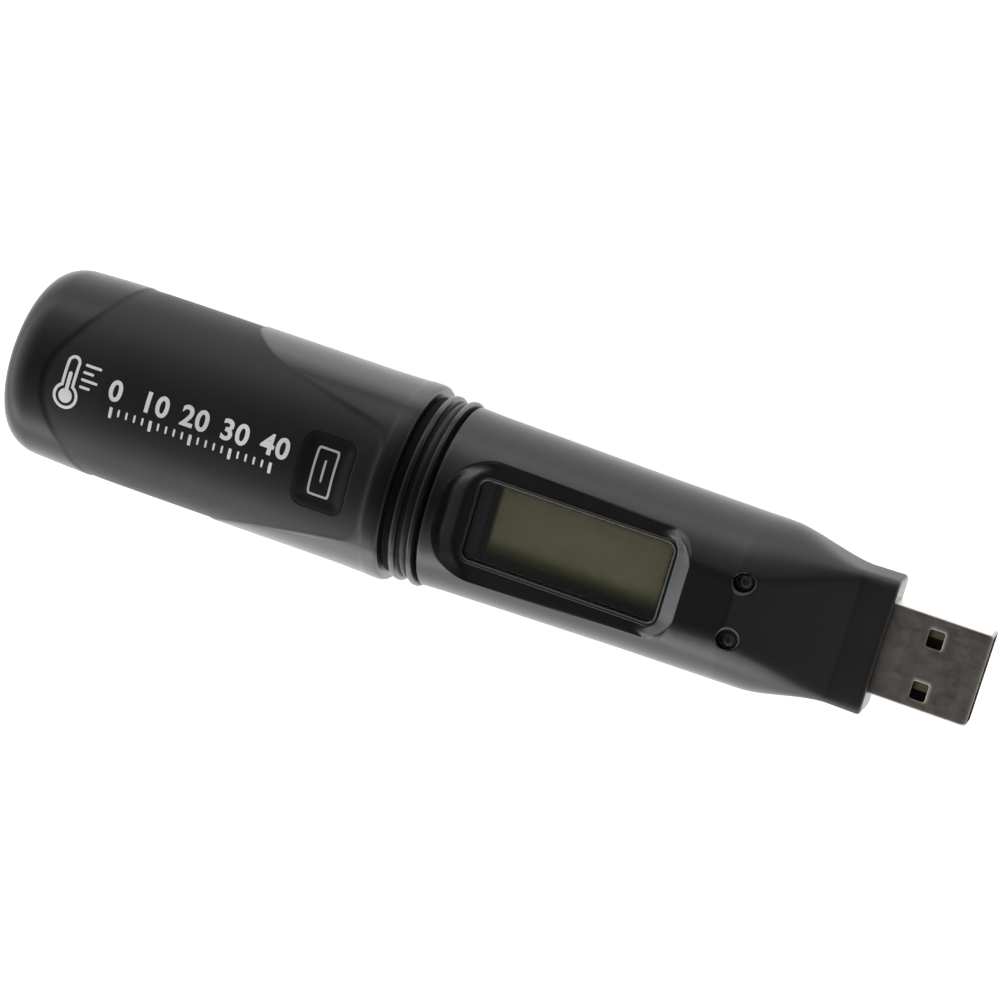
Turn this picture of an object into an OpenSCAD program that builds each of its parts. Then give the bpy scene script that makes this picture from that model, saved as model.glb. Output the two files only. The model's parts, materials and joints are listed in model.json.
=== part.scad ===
// Temperature data logger: a round stick with a battery sleeve, a display housing and a USB-A plug.
// The tube lies along X, the plug points to +X and the display faces +Z.
// It stands on the narrow flat under the sleeve, at z = 0, with x = 0 half way along it.
// Places along the tube are counted from a mark near the left end of the display window.

/* [Battery sleeve] */
// Distance from the mark to the sleeve's closed end
sleeve_end = 64.6; // [64.4:0.1:70]
// Outer radius at the closed end
sleeve_end_r = 12.65; // [12.6:0.05:12.8]
// Outer radius at the middle of the sleeve
sleeve_r = 13; // [12.95:0.05:13.05]
// Outer radius at the collar, next to the joint
collar_r = 13.15; // [13.1:0.05:13.3]
// Corner radius of the closed end
end_corner = 3.2; // [2:0.2:3.6]
// Thickness of the closed end
end_wall = 2; // [1.5:0.1:2.2]
// Radius of the bore that the neck slides in
sleeve_bore_r = 10.9; // [10.9:0.02:10.96]
// Depth of the shallow label panel and side grips
panel_depth = 0.3; // [0.1:0.05:0.4]
// Height of the tube's axis above the flat that it stands on
axis_h = 12.75; // [12.7:0.05:12.8]

/* [Joint] */
// Where the sleeve ends
sleeve_mouth = -5.9; // [-6.1:0.1:-5.8]
// Where the housing's shoulder begins
shoulder = -5.1; // [-5.2:0.1:-5]
// Outer radius of the neck inside the sleeve
neck_r = 10.82; // [10.8:0.01:10.84]
// Length of the neck beyond the shoulder
neck_len = 9.9; // [9.6:0.1:10]
// Bore radius of the neck and of the housing
housing_bore_r = 9; // [8.9:0.05:9.1]
// Thickness of an O-ring
oring_d = 1.25; // [1.2:0.05:1.26]

/* [Housing] */
// Outer radius at the shoulder
shoulder_r = 11.95; // [11.9:0.05:12.1]
// Outer radius where the taper to the plug begins
front_r = 11.1; // [11.05:0.05:11.2]
// Height of the flat strip between the display and the plug, above the axis
crown_h = 10.4; // [10.3:0.05:10.5]
// Where the sloped facet begins
slope_start = 34.6; // [34.4:0.1:35]
// Where the facet reaches the plug flange
slope_end = 48.4; // [48:0.1:48.6]
// Where the plug flange ends
flange_end = 52.9; // [52.5:0.1:53.2]
// Half the width of the plug flange
flange_half_w = 8.75; // [8.6:0.05:8.9]
// Half the thickness of the plug flange
flange_half_h = 3.9; // [3.8:0.05:4.1]

/* [Display] */
// Left end of the window in the housing
window_x0 = 0; // [-0.2:0.1:0.2]
// Right end of the window
window_x1 = 25.7; // [25.5:0.1:25.8]
// Half the width of the window
window_half_w = 5.15; // [5.1:0.05:5.2]
// Height of the sunken floor round the window, above the axis
dish_floor = 8.45; // [8.4:0.05:8.5]
// Height of the lip round the window
lip_h = 0.35; // [0.2:0.05:0.4]

/* [Button] */
// Centre of the push button along the tube
button_x = -19; // [-19.2:0.1:-18.9]
// Length of the button along the tube
button_l = 7; // [6.8:0.1:7.2]
// Width of the button across the tube
button_w = 9.6; // [9.4:0.1:9.8]
// Travel of the button
button_travel = 0.35; // [0.2:0.05:0.4]
// Gap all round the button
button_gap = 0.1; // [0.08:0.01:0.15]

/* [Lights] */
// Centre of the two indicator lights along the tube
light_x = 35.3; // [35.2:0.05:35.5]
// Distance of each light from the middle
light_y = 3.75; // [3.7:0.05:3.8]
// Radius of a light pipe
light_r = 1.15; // [1.1:0.05:1.2]

/* [Plug] */
// Tip of the plug
plug_tip = 65.5; // [65.2:0.1:66]
// Width of the plug shell
plug_w = 12; // [12:0.1:12]
// Thickness of the plug shell
plug_t = 4.5; // [4.5:0.1:4.5]

/* [Battery] */
// Diameter of the battery with its wrap
battery_d = 14.5; // [14.3:0.1:14.6]
// Length of the battery body without its pole
battery_l = 24.4; // [24.2:0.1:24.5]

/* [Hidden] */
$fn = 96;
eps = 0.01;
// A length that reaches beyond every outer surface
clear = 20;

// Sleeve rings beside the joint: each groove and rib as [start, end, radius]
grooves = [[-10, -8.85, 11.9], [-8.05, -6.5, 11.95]];
rib_r = 12.35;
collar_start = -12.6;
collar_end = -10.9;
// Outline of the sleeve's side, as [position, radius]
sleeve_side = [[-sleeve_end + end_corner, sleeve_end_r], [-50, sleeve_r + 0.03],
    [-17, sleeve_r - 0.03], [collar_start, collar_r - 0.07]];

// Label panel, as seen from above: a round end with two slanted edges, a wide middle
// that runs on into the grips, and a narrower end by the button
panel_x0 = -58.4;
panel_x1 = -12.9;
panel_end_r = 10;
panel_slant = 30;
panel_corner = 3.2;
panel_half_w = 8;
panel_flare = [-28.5, 10.5];
// Grips on the two sides, from the panel down to this depth below the axis
grip_x0 = -52.4;
grip_x1 = -36;
grip_depth = 8;
grip_corner = 5;

// Neck and O-ring grooves
neck_end = shoulder - neck_len;
oring_groove_r = 9.6;
oring_groove_w = 1.5;
oring_x = [-8, -12.1];
oring_mid_r = sleeve_bore_r - 0.03 - oring_d / 2;

// Housing cavities
roof_bottom = 7;
roof_x0 = -4.2;
cavity_round_end = 38;
cavity_front_end = 46.5;
cavity_front_half_w = 7.2;
cavity_front_half_h = 2.9;
plug_gap = 0.05;

// Sunken floor round the window
dish_x0 = -2.8;
dish_x1 = 28.35;
dish_half_w = 8.6;
dish_corner = 3.4;
dish_bevel = 1;
ramp_left = 1.1;
ramp_left_h = 2.65;
ramp_right = 2.1;
ramp_right_h = 1.95;
lip_w = 0.6;
window_corner = 1;

// Lights: rods with a domed top and a collar, in countersunk holes
light_gap = 0.15;
sink_depth = 0.5;
facet_angle = atan((crown_h - flange_half_h) / (slope_end - slope_start));
light_top = crown_h - (light_x - slope_start) * tan(facet_angle);
pipe_top = 8.9;
pipe_dome = 0.7;
pipe_collar = [5.2, 0.9, 0.5];
light_chip_h = 0.7;

// Circuit board
board_half_t = 0.8;
board_x0 = -24;
board_x1 = 46.45;
board_half_w = 8.2;
board_nose_x = 33;
board_nose_half_w = 6;
screw_hole_r = 1.1;
bead = [-17, 6.8, 1.1];
crystal_x = 2;
crystal_r = 1.25;

// Stack under the window
lens_bottom = 7.02;
lens_t = 0.9;
lens_gap = 0.04;
glass_x0 = -1.2;
glass_x1 = 26.9;
glass_half_w = 5.6;
glass_top = 6.6;
glass_t = 1.7;
reflector_t = 0.4;
view_x0 = 1.5;
view_x1 = 25.4;
view_half_w = 4.9;
frame_wall = 0.35;
strip_y = 4.9;
strip_half_w = 0.68;

// Switch under the button
switch_size = 6;
switch_h = 3.5;
plunger_r = 1.75;
plunger_top = 7.8;
switch_floor = board_half_t + 1;
stem_r = 1.5;
stem_gap = 0.07;
button_corner = 1.5;
pad_bottom = 11.02;
pad_r = 12.4;

// Battery and its carrier
battery_z = -1.5;
battery_x1 = -31.8;
battery_x0 = battery_x1 - battery_l;
battery_pole_r = 3.2;
battery_pole_l = 1.2;
wrap_t = 0.25;
carrier_r = 10.4;
carrier_x0 = -61.4;
carrier_plate = 1;
carrier_top = 6.2;
bridge_top = -2.2;
screw_r = 0.9;
screw_head = [1.8, 1.2];
contact_t = 0.3;
positive_x = battery_x1 + battery_pole_l;
carrier_block_x0 = positive_x + contact_t;
screw_x = -21;
screw_y = 6;

// Battery spring: a cone of wire, wound along X
spring_wire = 0.6;
spring_turns = 3;
spring_r_small = 2.2;
spring_r_large = 4.6;
spring_rings_per_turn = 8;
spring_sides = 6;
spring_x0 = carrier_x0 + carrier_plate + contact_t + spring_wire / 2;
spring_x1 = battery_x0 - spring_wire / 2;

// USB plug
shell_x0 = 46.5;
shell_t = 0.3;
plug_window_x = 58.85;
plug_window_y = 3.4;
plug_window = [2, 2.3];
tongue_t = 1.85;
contact_pitch = 2.3;
seal_x0 = 48.65;
seal_x1 = 50.15;
seal_half_w = 6.75;
seal_half_h = 3;

// Places everything that is drawn about the tube's axis and its mark
module seated() {
    translate([(sleeve_end - plug_tip) / 2, 0, axis_h]) children();
}

// Turns a profile of [radius, position along the tube] into a round solid along X
module turned() {
    rotate([0, 90, 0]) rotate_extrude() children();
}

// A round bar along X, from x0 to x1
module bar_x(r, x0, x1) {
    translate([x0, 0, 0]) rotate([0, 90, 0]) cylinder(r = r, h = x1 - x0);
}

// A block from one corner to the other
module block(low, high) {
    translate(low) cube(high - low);
}

// A rectangle with round corners, from its low corner to its high one
module round_rect(low, high, r) {
    translate([low[0] + r, low[1]]) square([high[0] - low[0] - 2 * r, high[1] - low[1]]);
    translate([low[0], low[1] + r]) square([high[0] - low[0], high[1] - low[1] - 2 * r]);
    for (x = [low[0] + r, high[0] - r], y = [low[1] + r, high[1] - r])
        translate([x, y]) circle(r = r);
}

// A plate with round corners, seen from above
module round_plate(low, high, r, z0, z1) {
    translate([0, 0, z0]) linear_extrude(z1 - z0) round_rect(low, high, r);
}

// Plan outline of the label panel
module panel_outline() {
    round_x = panel_x0 + panel_end_r;
    touch = [round_x - panel_end_r * cos(panel_slant), panel_end_r * sin(panel_slant)];
    corner = [panel_x1 - panel_corner, panel_half_w - panel_corner];
    edge = [touch, [grip_x0, sleeve_r + 0.1], [grip_x1, sleeve_r + 0.1], panel_flare,
        [corner[0], panel_half_w], [panel_x1, corner[1]]];
    last = len(edge) - 1;
    polygon(concat(edge, [for (i = [last:-1:0]) [edge[i][0], -edge[i][1]]]));
    translate([round_x, 0]) circle(r = panel_end_r);
    for (side = [-1, 1]) translate([corner[0], side * corner[1]]) circle(r = panel_corner);
}

// Side outline of a grip, below the axis
module grip_outline() {
    round_rect([grip_x0, -grip_depth], [grip_x1, grip_corner], grip_corner);
}

module sleeve_profile() {
    polygon(concat(
        [[0, -sleeve_end], [sleeve_end_r - end_corner, -sleeve_end]],
        [for (p = sleeve_side) [p[1], p[0]]],
        [[collar_r, collar_start], [collar_r, collar_end], [rib_r, grooves[0][0]],
            [rib_r, sleeve_mouth - 0.2], [rib_r - 0.2, sleeve_mouth], [0, sleeve_mouth]]));
    translate([sleeve_end_r - end_corner, -sleeve_end + end_corner]) circle(r = end_corner);
}

// The sleeve without what the label panel and the grips take away
module panel_core() {
    turned() polygon(concat(
        [[0, -sleeve_end - 1], [sleeve_end_r - panel_depth, -sleeve_end - 1]],
        [for (p = sleeve_side) [p[1] - panel_depth, p[0]]],
        [[0, collar_start]]));
}

module battery_sleeve() {
    color([0.09, 0.09, 0.10]) seated() difference() {
        turned() sleeve_profile();
        bar_x(sleeve_bore_r, -sleeve_end + end_wall, 0);
        // the two grooves of the joint
        turned() for (g = grooves)
            translate([g[2], g[0]]) square([2, g[1] - g[0]]);
        // label panel and side grips, cut down to one smaller radius
        difference() {
            union() {
                linear_extrude(clear) panel_outline();
                // each grip
                for (side = [-1, 1])
                    translate([0, side * clear, 0]) rotate([90, 0, 0])
                        linear_extrude(clear, center = true) grip_outline();
            }
            panel_core();
        }
        // opening for the button
        round_plate(
            [button_x - button_l / 2 - button_gap, -button_w / 2 - button_gap],
            [button_x + button_l / 2 + button_gap, button_w / 2 + button_gap],
            button_corner + button_gap, 5, clear);
        // flat to stand on
        block([-sleeve_end - 1, -10, -clear], [0, 10, -axis_h]);
    }
}

module button_pad() {
    color([0.07, 0.07, 0.08]) seated() union() {
        intersection() {
            round_plate([button_x - button_l / 2, -button_w / 2],
                [button_x + button_l / 2, button_w / 2], button_corner, pad_bottom, clear);
            bar_x(pad_r, button_x - button_l, button_x + button_l);
        }
        translate([button_x, 0, plunger_top + stem_gap])
            cylinder(r = stem_r, h = pad_bottom - plunger_top - stem_gap + 0.3);
    }
}

// Sizes of the housing's front, where a round section becomes a flat flange
end_bevel = 0.5;
end_flare = 0.1;
function blend(x, x0, x1) = let (u = ramp(x, x0, x1)) u * u * (3 - 2 * u);
function ramp(x, x0, x1) = max(0, min(1, (x - x0) / (x1 - x0)));
function bevel(x) = max(0, x - flange_end + end_bevel);
function half_width(x) = front_r - 0.08 - (front_r - flange_half_w) * blend(x, 37.5, slope_end)
    + end_flare * ramp(x, slope_end, flange_end - end_bevel) - bevel(x);
function top_height(x) =
    crown_h + (flange_half_h - crown_h) * ramp(x, slope_start, slope_end) - bevel(x);
function under_height(x) =
    front_r - 0.2 + (flange_half_h - front_r + 0.2) * ramp(x, 36, slope_end) - bevel(x);
function full_height(x) = let (u = ramp(x, slope_start, slope_end))
    top_height(x) + 0.62 * (1 - u) + 0.2 * u + 3.2 * u * (1 - u);
function squareness(x) = 2 + 6 * pow(ramp(x, 37, slope_end), 3);

// One quarter of a section, from the edge of the flat to the side
quarter_steps = 9;
function quarter(x, flat_h) = let (
        n = squareness(x), w = half_width(x), h = max(full_height(x), flat_h * 1.02),
        t0 = acos(pow(flat_h / h, n / 2)))
    [for (i = [0:quarter_steps]) let (t = t0 + (90 - t0) * i / quarter_steps)
        [w * pow(sin(t), 2 / n), i == quarter_steps ? 0 : h * pow(cos(t), 2 / n)]];
function section(x) = let (
        up = quarter(x, top_height(x)), down = quarter(x, under_height(x)), m = quarter_steps)
    concat(
        [for (i = [0:m]) [x, up[i][0], up[i][1]]],
        [for (i = [m - 1:-1:0]) [x, down[i][0], -down[i][1]]],
        [for (i = [0:m]) [x, -down[i][0], -down[i][1]]],
        [for (i = [m - 1:-1:1]) [x, -up[i][0], up[i][1]]],
        [[x, -up[0][0], up[0][1]]]);
front_stations = [33.4, slope_start, 36, 37.5, 39, 40.5, 42, 43.5, 45, 46.2, 47.3, slope_end,
    flange_end - end_bevel, flange_end];

// Skins a list of rings that all have the same number of points
module skinned(rings) {
    n = len(rings[0]);
    last = len(rings) - 1;
    points = [for (r = rings) for (p = r) p];
    sides = [for (k = [0:last - 1]) for (i = [0:n - 1]) let (j = (i + 1) % n)
        each [[k * n + i, (k + 1) * n + j, (k + 1) * n + i], [k * n + i, k * n + j, (k + 1) * n + j]]];
    polyhedron(points, concat(sides, [[for (i = [n - 1:-1:0]) i]],
        [[for (i = [0:n - 1]) last * n + i]]));
}

module housing_profile() {
    polygon([
        [0, neck_end],
        [neck_r - 0.4, neck_end],
        [neck_r, neck_end + 0.6],
        [neck_r, shoulder],
        [shoulder_r - 0.2, shoulder],
        [shoulder_r, shoulder + 0.2],
        [shoulder_r - 0.14, shoulder + 3],
        [front_r + 0.17, 21],
        [front_r, 33.6],
        [0, 33.6]]);
}

// The hollow inside the housing, open at the neck and at the plug
module housing_hollow() {
    difference() {
        bar_x(housing_bore_r, neck_end - 1, cavity_round_end);
        block([roof_x0, -clear, roof_bottom], [plug_tip, clear, clear]);
    }
    block([cavity_round_end - eps, -cavity_front_half_w, -cavity_front_half_h],
        [cavity_front_end, cavity_front_half_w, cavity_front_half_h]);
    block([cavity_front_end - eps, -plug_w / 2 - plug_gap, -plug_t / 2 - plug_gap],
        [plug_tip, plug_w / 2 + plug_gap, plug_t / 2 + plug_gap]);
    // pocket of the plug seal
    block([seal_x0 - plug_gap, -seal_half_w - plug_gap, -seal_half_h - plug_gap],
        [seal_x1 + plug_gap, seal_half_w + plug_gap, seal_half_h + plug_gap]);
}

// The sunken floor round the window, with a steep end, bevelled above, and a sloped end
module dish() {
    intersection() {
        round_plate([dish_x0 - dish_bevel, -dish_half_w], [dish_x1, dish_half_w],
            dish_corner, dish_floor, clear);
        rotate([90, 0, 0]) linear_extrude(30, center = true) polygon([
            [dish_x0 + ramp_left, dish_floor],
            [dish_x1 - ramp_right, dish_floor],
            [dish_x1, dish_floor + ramp_right_h],
            [dish_x1, clear],
            [dish_x0 - dish_bevel, clear],
            [dish_x0 - dish_bevel, dish_floor + ramp_left_h + 0.75 * dish_bevel],
            [dish_x0, dish_floor + ramp_left_h]]);
    }
}

module window_lip() {
    difference() {
        round_plate([window_x0 - lip_w, -window_half_w - lip_w],
            [window_x1 + lip_w, window_half_w + lip_w],
            window_corner + lip_w, dish_floor - 0.2, dish_floor + lip_h);
        round_plate([window_x0, -window_half_w], [window_x1, window_half_w],
            window_corner, dish_floor - 1, dish_floor + 1);
    }
}

module main_housing() {
    color([0.11, 0.11, 0.12]) seated() difference() {
        union() {
            difference() {
                union() {
                    turned() housing_profile();
                    skinned([for (x = front_stations) section(x)]);
                }
                dish();
                block([dish_x1 - 1, -clear, crown_h], [slope_start, clear, clear]);
            }
            window_lip();
        }
        housing_hollow();
        round_plate([window_x0, -window_half_w], [window_x1, window_half_w],
            window_corner, 5, clear);
        turned() for (x = oring_x)
            translate([oring_groove_r, x - oring_groove_w / 2]) square([2, oring_groove_w]);
        // holes of the two lights, each with a countersink square to the facet
        for (side = [-1, 1]) translate([light_x, side * light_y, 0]) {
            cylinder(r = light_r + light_gap, h = clear);
            translate([0, 0, light_top]) rotate([0, facet_angle, 0]) translate([0, 0, -sink_depth])
                cylinder(r1 = light_r + light_gap, r2 = light_r + light_gap + 2 * sink_depth,
                    h = 2 * sink_depth);
        }
    }
}

module window_lens() {
    color([0.75, 0.8, 0.78, 0.35]) seated()
        round_plate([window_x0 + lens_gap, -window_half_w + lens_gap],
            [window_x1 - lens_gap, window_half_w - lens_gap], window_corner - lens_gap,
            lens_bottom, lens_bottom + lens_t);
}

module window_gasket() {
    color([0.03, 0.03, 0.03]) seated() difference() {
        block([glass_x0, -glass_half_w, glass_top], [glass_x1, glass_half_w, lens_bottom - 0.02]);
        block([view_x0, -view_half_w, glass_top - 1], [view_x1, view_half_w, lens_bottom + 1]);
    }
}

module display_glass() {
    color([0.42, 0.42, 0.34]) seated() {
        block([glass_x0, -glass_half_w, glass_top - glass_t], [glass_x1, glass_half_w, glass_top]);
    }
}

module display_reflector() {
    color([0.6, 0.6, 0.55]) seated()
        block([glass_x0 + 1, -glass_half_w + 1.4, glass_top - glass_t - reflector_t],
            [glass_x1 - 1, glass_half_w - 1.4, glass_top - glass_t]);
}

module display_frame() {
    bottom = glass_top - glass_t - reflector_t;
    outer = [glass_half_w + frame_wall, glass_top - 0.05];
    color([0.85, 0.85, 0.82]) seated() difference() {
        block([glass_x0 - 0.8, -outer[0], board_half_t], [glass_x1 + 0.8, outer[0], outer[1]]);
        // seat of the glass
        block([glass_x0 - 0.02, -glass_half_w - 0.02, bottom],
            [glass_x1 + 0.02, glass_half_w + 0.02, clear]);
        // slots of the two contact strips
        for (side = [-1, 1])
            block([glass_x0 + 1.6, side * strip_y - strip_half_w - 0.04, board_half_t - 1],
                [glass_x1 - 1.6, side * strip_y + strip_half_w + 0.04, clear]);
        // hollow over the board
        block([glass_x0 + 1.6, -3.4, board_half_t - 1], [glass_x1 - 1.6, 3.4, bottom - 0.6]);
    }
}

module contact_strip(side) {
    seated() block([glass_x0 + 1.7, side * strip_y - strip_half_w, board_half_t],
        [glass_x1 - 1.7, side * strip_y + strip_half_w, glass_top - glass_t]);
}

module contact_strip_left() {
    color([0.75, 0.35, 0.3]) contact_strip(1);
}

module contact_strip_right() {
    color([0.75, 0.35, 0.3]) contact_strip(-1);
}

module main_board() {
    color([0.05, 0.3, 0.16]) seated() difference() {
        translate([0, 0, -board_half_t]) linear_extrude(2 * board_half_t) polygon([
            [board_x0, -board_half_w], [board_nose_x, -board_half_w],
            [board_nose_x + 2, -board_nose_half_w], [board_x1, -board_nose_half_w],
            [board_x1, board_nose_half_w], [board_nose_x + 2, board_nose_half_w],
            [board_nose_x, board_half_w], [board_x0, board_half_w]]);
        for (side = [-1, 1])
            translate([screw_x, side * screw_y, -2]) cylinder(r = screw_hole_r, h = 4);
    }
}

// A flat chip with two rows of legs
module chip(x, y, size_x, size_y, height, legs) {
    seated() {
        block([x - size_x / 2, y - size_y / 2, -board_half_t - height],
            [x + size_x / 2, y + size_y / 2, -board_half_t - 0.12]);
        pitch = (size_x - 0.8) / (legs - 1);
        for (i = [0:legs - 1], side = [-1, 1])
            translate([x - size_x / 2 + 0.4 + i * pitch - 0.15, y + side * size_y / 2 - 0.6,
                -board_half_t - 0.5])
                cube([0.3, 1.2, 0.5]);
    }
}

module microcontroller() {
    color([0.08, 0.08, 0.08]) chip(12, 0, 10, 7.6, 1.4, 8);
}

module memory_chip() {
    color([0.1, 0.1, 0.1]) chip(26, 0, 5, 4, 1.4, 4);
}

module crystal() {
    color([0.75, 0.75, 0.75]) seated() {
        translate([crystal_x, 0, -board_half_t - crystal_r - 0.01]) rotate([90, 0, 0])
            cylinder(r = crystal_r - 0.15, h = 6, center = true);
        translate([crystal_x, 3.2, -board_half_t - crystal_r - 0.01]) rotate([90, 0, 0])
            cylinder(r = crystal_r, h = 0.5, center = true);
    }
}

module chip_capacitors() {
    color([0.7, 0.6, 0.42]) seated()
        for (place = [[-4, -4.5], [-4, 4.5], [6, 6.2], [18.5, -5.6], [21, 5.6], [31, 3]])
            block([place[0] - 0.8, place[1] - 0.4, -board_half_t - 0.8],
                [place[0] + 0.8, place[1] + 0.4, -board_half_t]);
}

module light_chip(side) {
    seated() block([light_x - 1, side * light_y - 0.62, board_half_t],
        [light_x + 1, side * light_y + 0.62, board_half_t + light_chip_h]);
}

module light_green() {
    color([0.5, 0.9, 0.5]) light_chip(1);
}

module light_red() {
    color([0.95, 0.5, 0.45]) light_chip(-1);
}

// A clear rod from the board's light up to its hole, with a domed top
module light_pipe(side) {
    foot = board_half_t + light_chip_h + 0.02;
    seated() translate([light_x, side * light_y, 0]) {
        translate([0, 0, foot]) cylinder(r = light_r, h = pipe_top - foot);
        intersection() {
            translate([0, 0, pipe_top - pipe_dome]) sphere(r = norm([light_r, pipe_dome]));
            translate([0, 0, pipe_top - eps]) cylinder(r = light_r, h = 2);
        }
        translate([0, 0, pipe_collar[0]]) cylinder(r = light_r + pipe_collar[2], h = pipe_collar[1]);
    }
}

module light_pipe_left() {
    color([0.6, 0.62, 0.6, 0.5]) light_pipe(1);
}

module light_pipe_right() {
    color([0.6, 0.62, 0.6, 0.5]) light_pipe(-1);
}

module switch_body() {
    leg = [3.3, 2.25, 0.4, 0.35, 0.3];
    color([0.12, 0.12, 0.13]) seated() difference() {
        union() {
            block([button_x - switch_size / 2, -switch_size / 2, board_half_t],
                [button_x + switch_size / 2, switch_size / 2, board_half_t + switch_h]);
            for (sx = [-1, 1], sy = [-1, 1])
                block([button_x + sx * leg[0] - leg[2], sy * leg[1] - leg[3], board_half_t],
                    [button_x + sx * leg[0] + leg[2], sy * leg[1] + leg[3], board_half_t + leg[4]]);
        }
        translate([button_x, 0, switch_floor]) cylinder(r = plunger_r + 0.05, h = switch_h);
    }
}

module switch_plunger() {
    color([0.15, 0.15, 0.16]) seated() {
        start = switch_floor + button_travel + 0.15;
        translate([button_x, 0, start]) cylinder(r = plunger_r, h = plunger_top - start);
    }
}

module thermistor() {
    color([0.1, 0.12, 0.3]) seated() {
        translate([bead[0], bead[1], 3.4]) sphere(r = bead[2], $fn = 32);
        for (side = [-1, 1])
            translate([bead[0] + side * 0.6, bead[1], board_half_t]) cylinder(r = 0.2, h = 2, $fn = 16);
    }
}

module o_ring(x) {
    seated() turned() translate([oring_mid_r, x]) circle(d = oring_d, $fn = 48);
}

module o_ring_front() {
    color([0.04, 0.04, 0.04]) o_ring(oring_x[0]);
}

module o_ring_rear() {
    color([0.04, 0.04, 0.04]) o_ring(oring_x[1]);
}

// Tray that is plugged into the neck and holds the battery between two end plates
module battery_carrier() {
    color([0.2, 0.2, 0.21]) seated() difference() {
        union() {
            // trough, end plates and the bridge under the board
            intersection() {
                bar_x(carrier_r, carrier_x0, neck_end - 0.05);
                block([carrier_x0, -clear, -clear], [neck_end, clear, carrier_top]);
            }
            // ring that fits the neck
            bar_x(housing_bore_r - 0.04, neck_end - 0.1, neck_end + 3);
        }
        // room for the battery, its wrap, spring and contacts
        translate([0, 0, battery_z])
            bar_x(battery_d / 2 + 0.1, carrier_x0 + carrier_plate, carrier_block_x0);
        block([carrier_x0 + carrier_plate, -battery_d / 2 - 0.1, battery_z],
            [carrier_block_x0, battery_d / 2 + 0.1, clear]);
        // hollow above the board, and the slot of the board
        block([board_x0 - 0.1, -clear, board_half_t], [0, clear, clear]);
        block([board_x0 - 0.1, -board_half_w - 0.05, -board_half_t - 0.02], [0, board_half_w + 0.05, 2]);
        block([neck_end - 0.05, -clear, bridge_top], [0, clear, clear]);
        // pockets beside the bridge, above and below it
        block([carrier_block_x0 + 1.5, -7.5, bridge_top], [board_x0, 7.5, clear]);
        block([carrier_block_x0 + 1.5, -4.4, -clear], [neck_end - 1, 4.4, -5]);
        // channel of the strip under the battery
        block([carrier_x0 + carrier_plate, -1.6, battery_z - battery_d / 2 - 0.7],
            [board_x0 - 1.5, 1.6, battery_z]);
        for (side = [-1, 1])
            translate([screw_x, side * screw_y, -6]) cylinder(r = screw_r, h = 8);
    }
}

module carrier_screws() {
    color([0.7, 0.7, 0.72]) seated() for (side = [-1, 1])
        translate([screw_x, side * screw_y, 0]) difference() {
            union() {
                translate([0, 0, -5]) cylinder(r = screw_r, h = 5 + board_half_t + eps);
                translate([0, 0, board_half_t]) cylinder(r = screw_head[0], h = screw_head[1]);
            }
            for (turn = [0, 90])
                rotate([0, 0, turn]) translate([-1.1, -0.22, board_half_t + 0.6]) cube([2.2, 0.44, 2]);
        }
}

module battery_can() {
    color([0.75, 0.75, 0.76]) seated() translate([0, 0, battery_z]) {
        bar_x(battery_d / 2 - wrap_t, battery_x0, battery_x1);
        bar_x(battery_pole_r, battery_x1 - eps, battery_x1 + battery_pole_l);
    }
}

module battery_wrap() {
    color([0.85, 0.85, 0.8]) seated() translate([0, 0, battery_z]) difference() {
        bar_x(battery_d / 2, battery_x0 + 0.3, battery_x1 - 0.3);
        bar_x(battery_d / 2 - wrap_t, battery_x0, battery_x1);
    }
}

// Middle line of the spring wire: turns grow from the battery end to the plate end
function spring_point(i) = let (
        u = i / (spring_turns * spring_rings_per_turn), a = 360 * spring_turns * u,
        r = spring_r_large + (spring_r_small - spring_r_large) * u)
    [spring_x0 + (spring_x1 - spring_x0) * u, r * cos(a), r * sin(a)];
spring_path = [for (i = [0:spring_turns * spring_rings_per_turn]) spring_point(i)];

function unit(v) = v / norm(v);
function wire_ring(path, i, r, sides) = let (
        along = unit(path[min(i + 1, len(path) - 1)] - path[max(i - 1, 0)]),
        out = unit(cross(along, [1, 0, 0])), up = cross(out, along))
    [for (k = [0:sides - 1]) path[i] + r * (cos(360 * k / sides) * out + sin(360 * k / sides) * up)];

// Least distance between points of the wire that are more than half a turn apart
spring_gap = min([for (i = [0:len(spring_path) - 1])
    for (j = [i + spring_rings_per_turn / 2 + 1:1:len(spring_path) - 1])
        norm(spring_path[i] - spring_path[j])]) - spring_wire;
echo(spring_gap = spring_gap);

module battery_spring() {
    color([0.8, 0.78, 0.7]) seated() translate([0, 0, battery_z]) {
        skinned([for (i = [0:len(spring_path) - 1])
            wire_ring(spring_path, i, spring_wire / 2, spring_sides)]);
    }
}

// Strip from the spring's plate, under the battery, to the board
module negative_strip() {
    low = battery_z - battery_d / 2 - 0.5;
    start = carrier_x0 + carrier_plate;
    color([0.85, 0.75, 0.5]) seated() {
        block([start, -5, battery_z - 5], [start + contact_t, 5, battery_z + 5]);
        block([start, -1.3, low], [start + contact_t, 1.3, battery_z]);
        block([start, -1.3, low], [board_x0 - 2.2, 1.3, low + contact_t]);
    }
}

module positive_contact() {
    color([0.85, 0.75, 0.5]) seated()
        block([positive_x, -3.5, battery_z - 4], [positive_x + contact_t, 3.5, 4.5]);
}

module usb_shell() {
    color([0.7, 0.69, 0.67]) seated() difference() {
        block([shell_x0, -plug_w / 2, -plug_t / 2], [plug_tip, plug_w / 2, plug_t / 2]);
        block([shell_x0 - 1, -plug_w / 2 + shell_t, -plug_t / 2 + shell_t],
            [plug_tip + 1, plug_w / 2 - shell_t, plug_t / 2 - shell_t]);
        for (side = [-1, 1])
            block([plug_window_x - plug_window[0] / 2, side * plug_window_y - plug_window[1] / 2, -clear],
                [plug_window_x + plug_window[0] / 2, side * plug_window_y + plug_window[1] / 2, clear]);
    }
}

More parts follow.
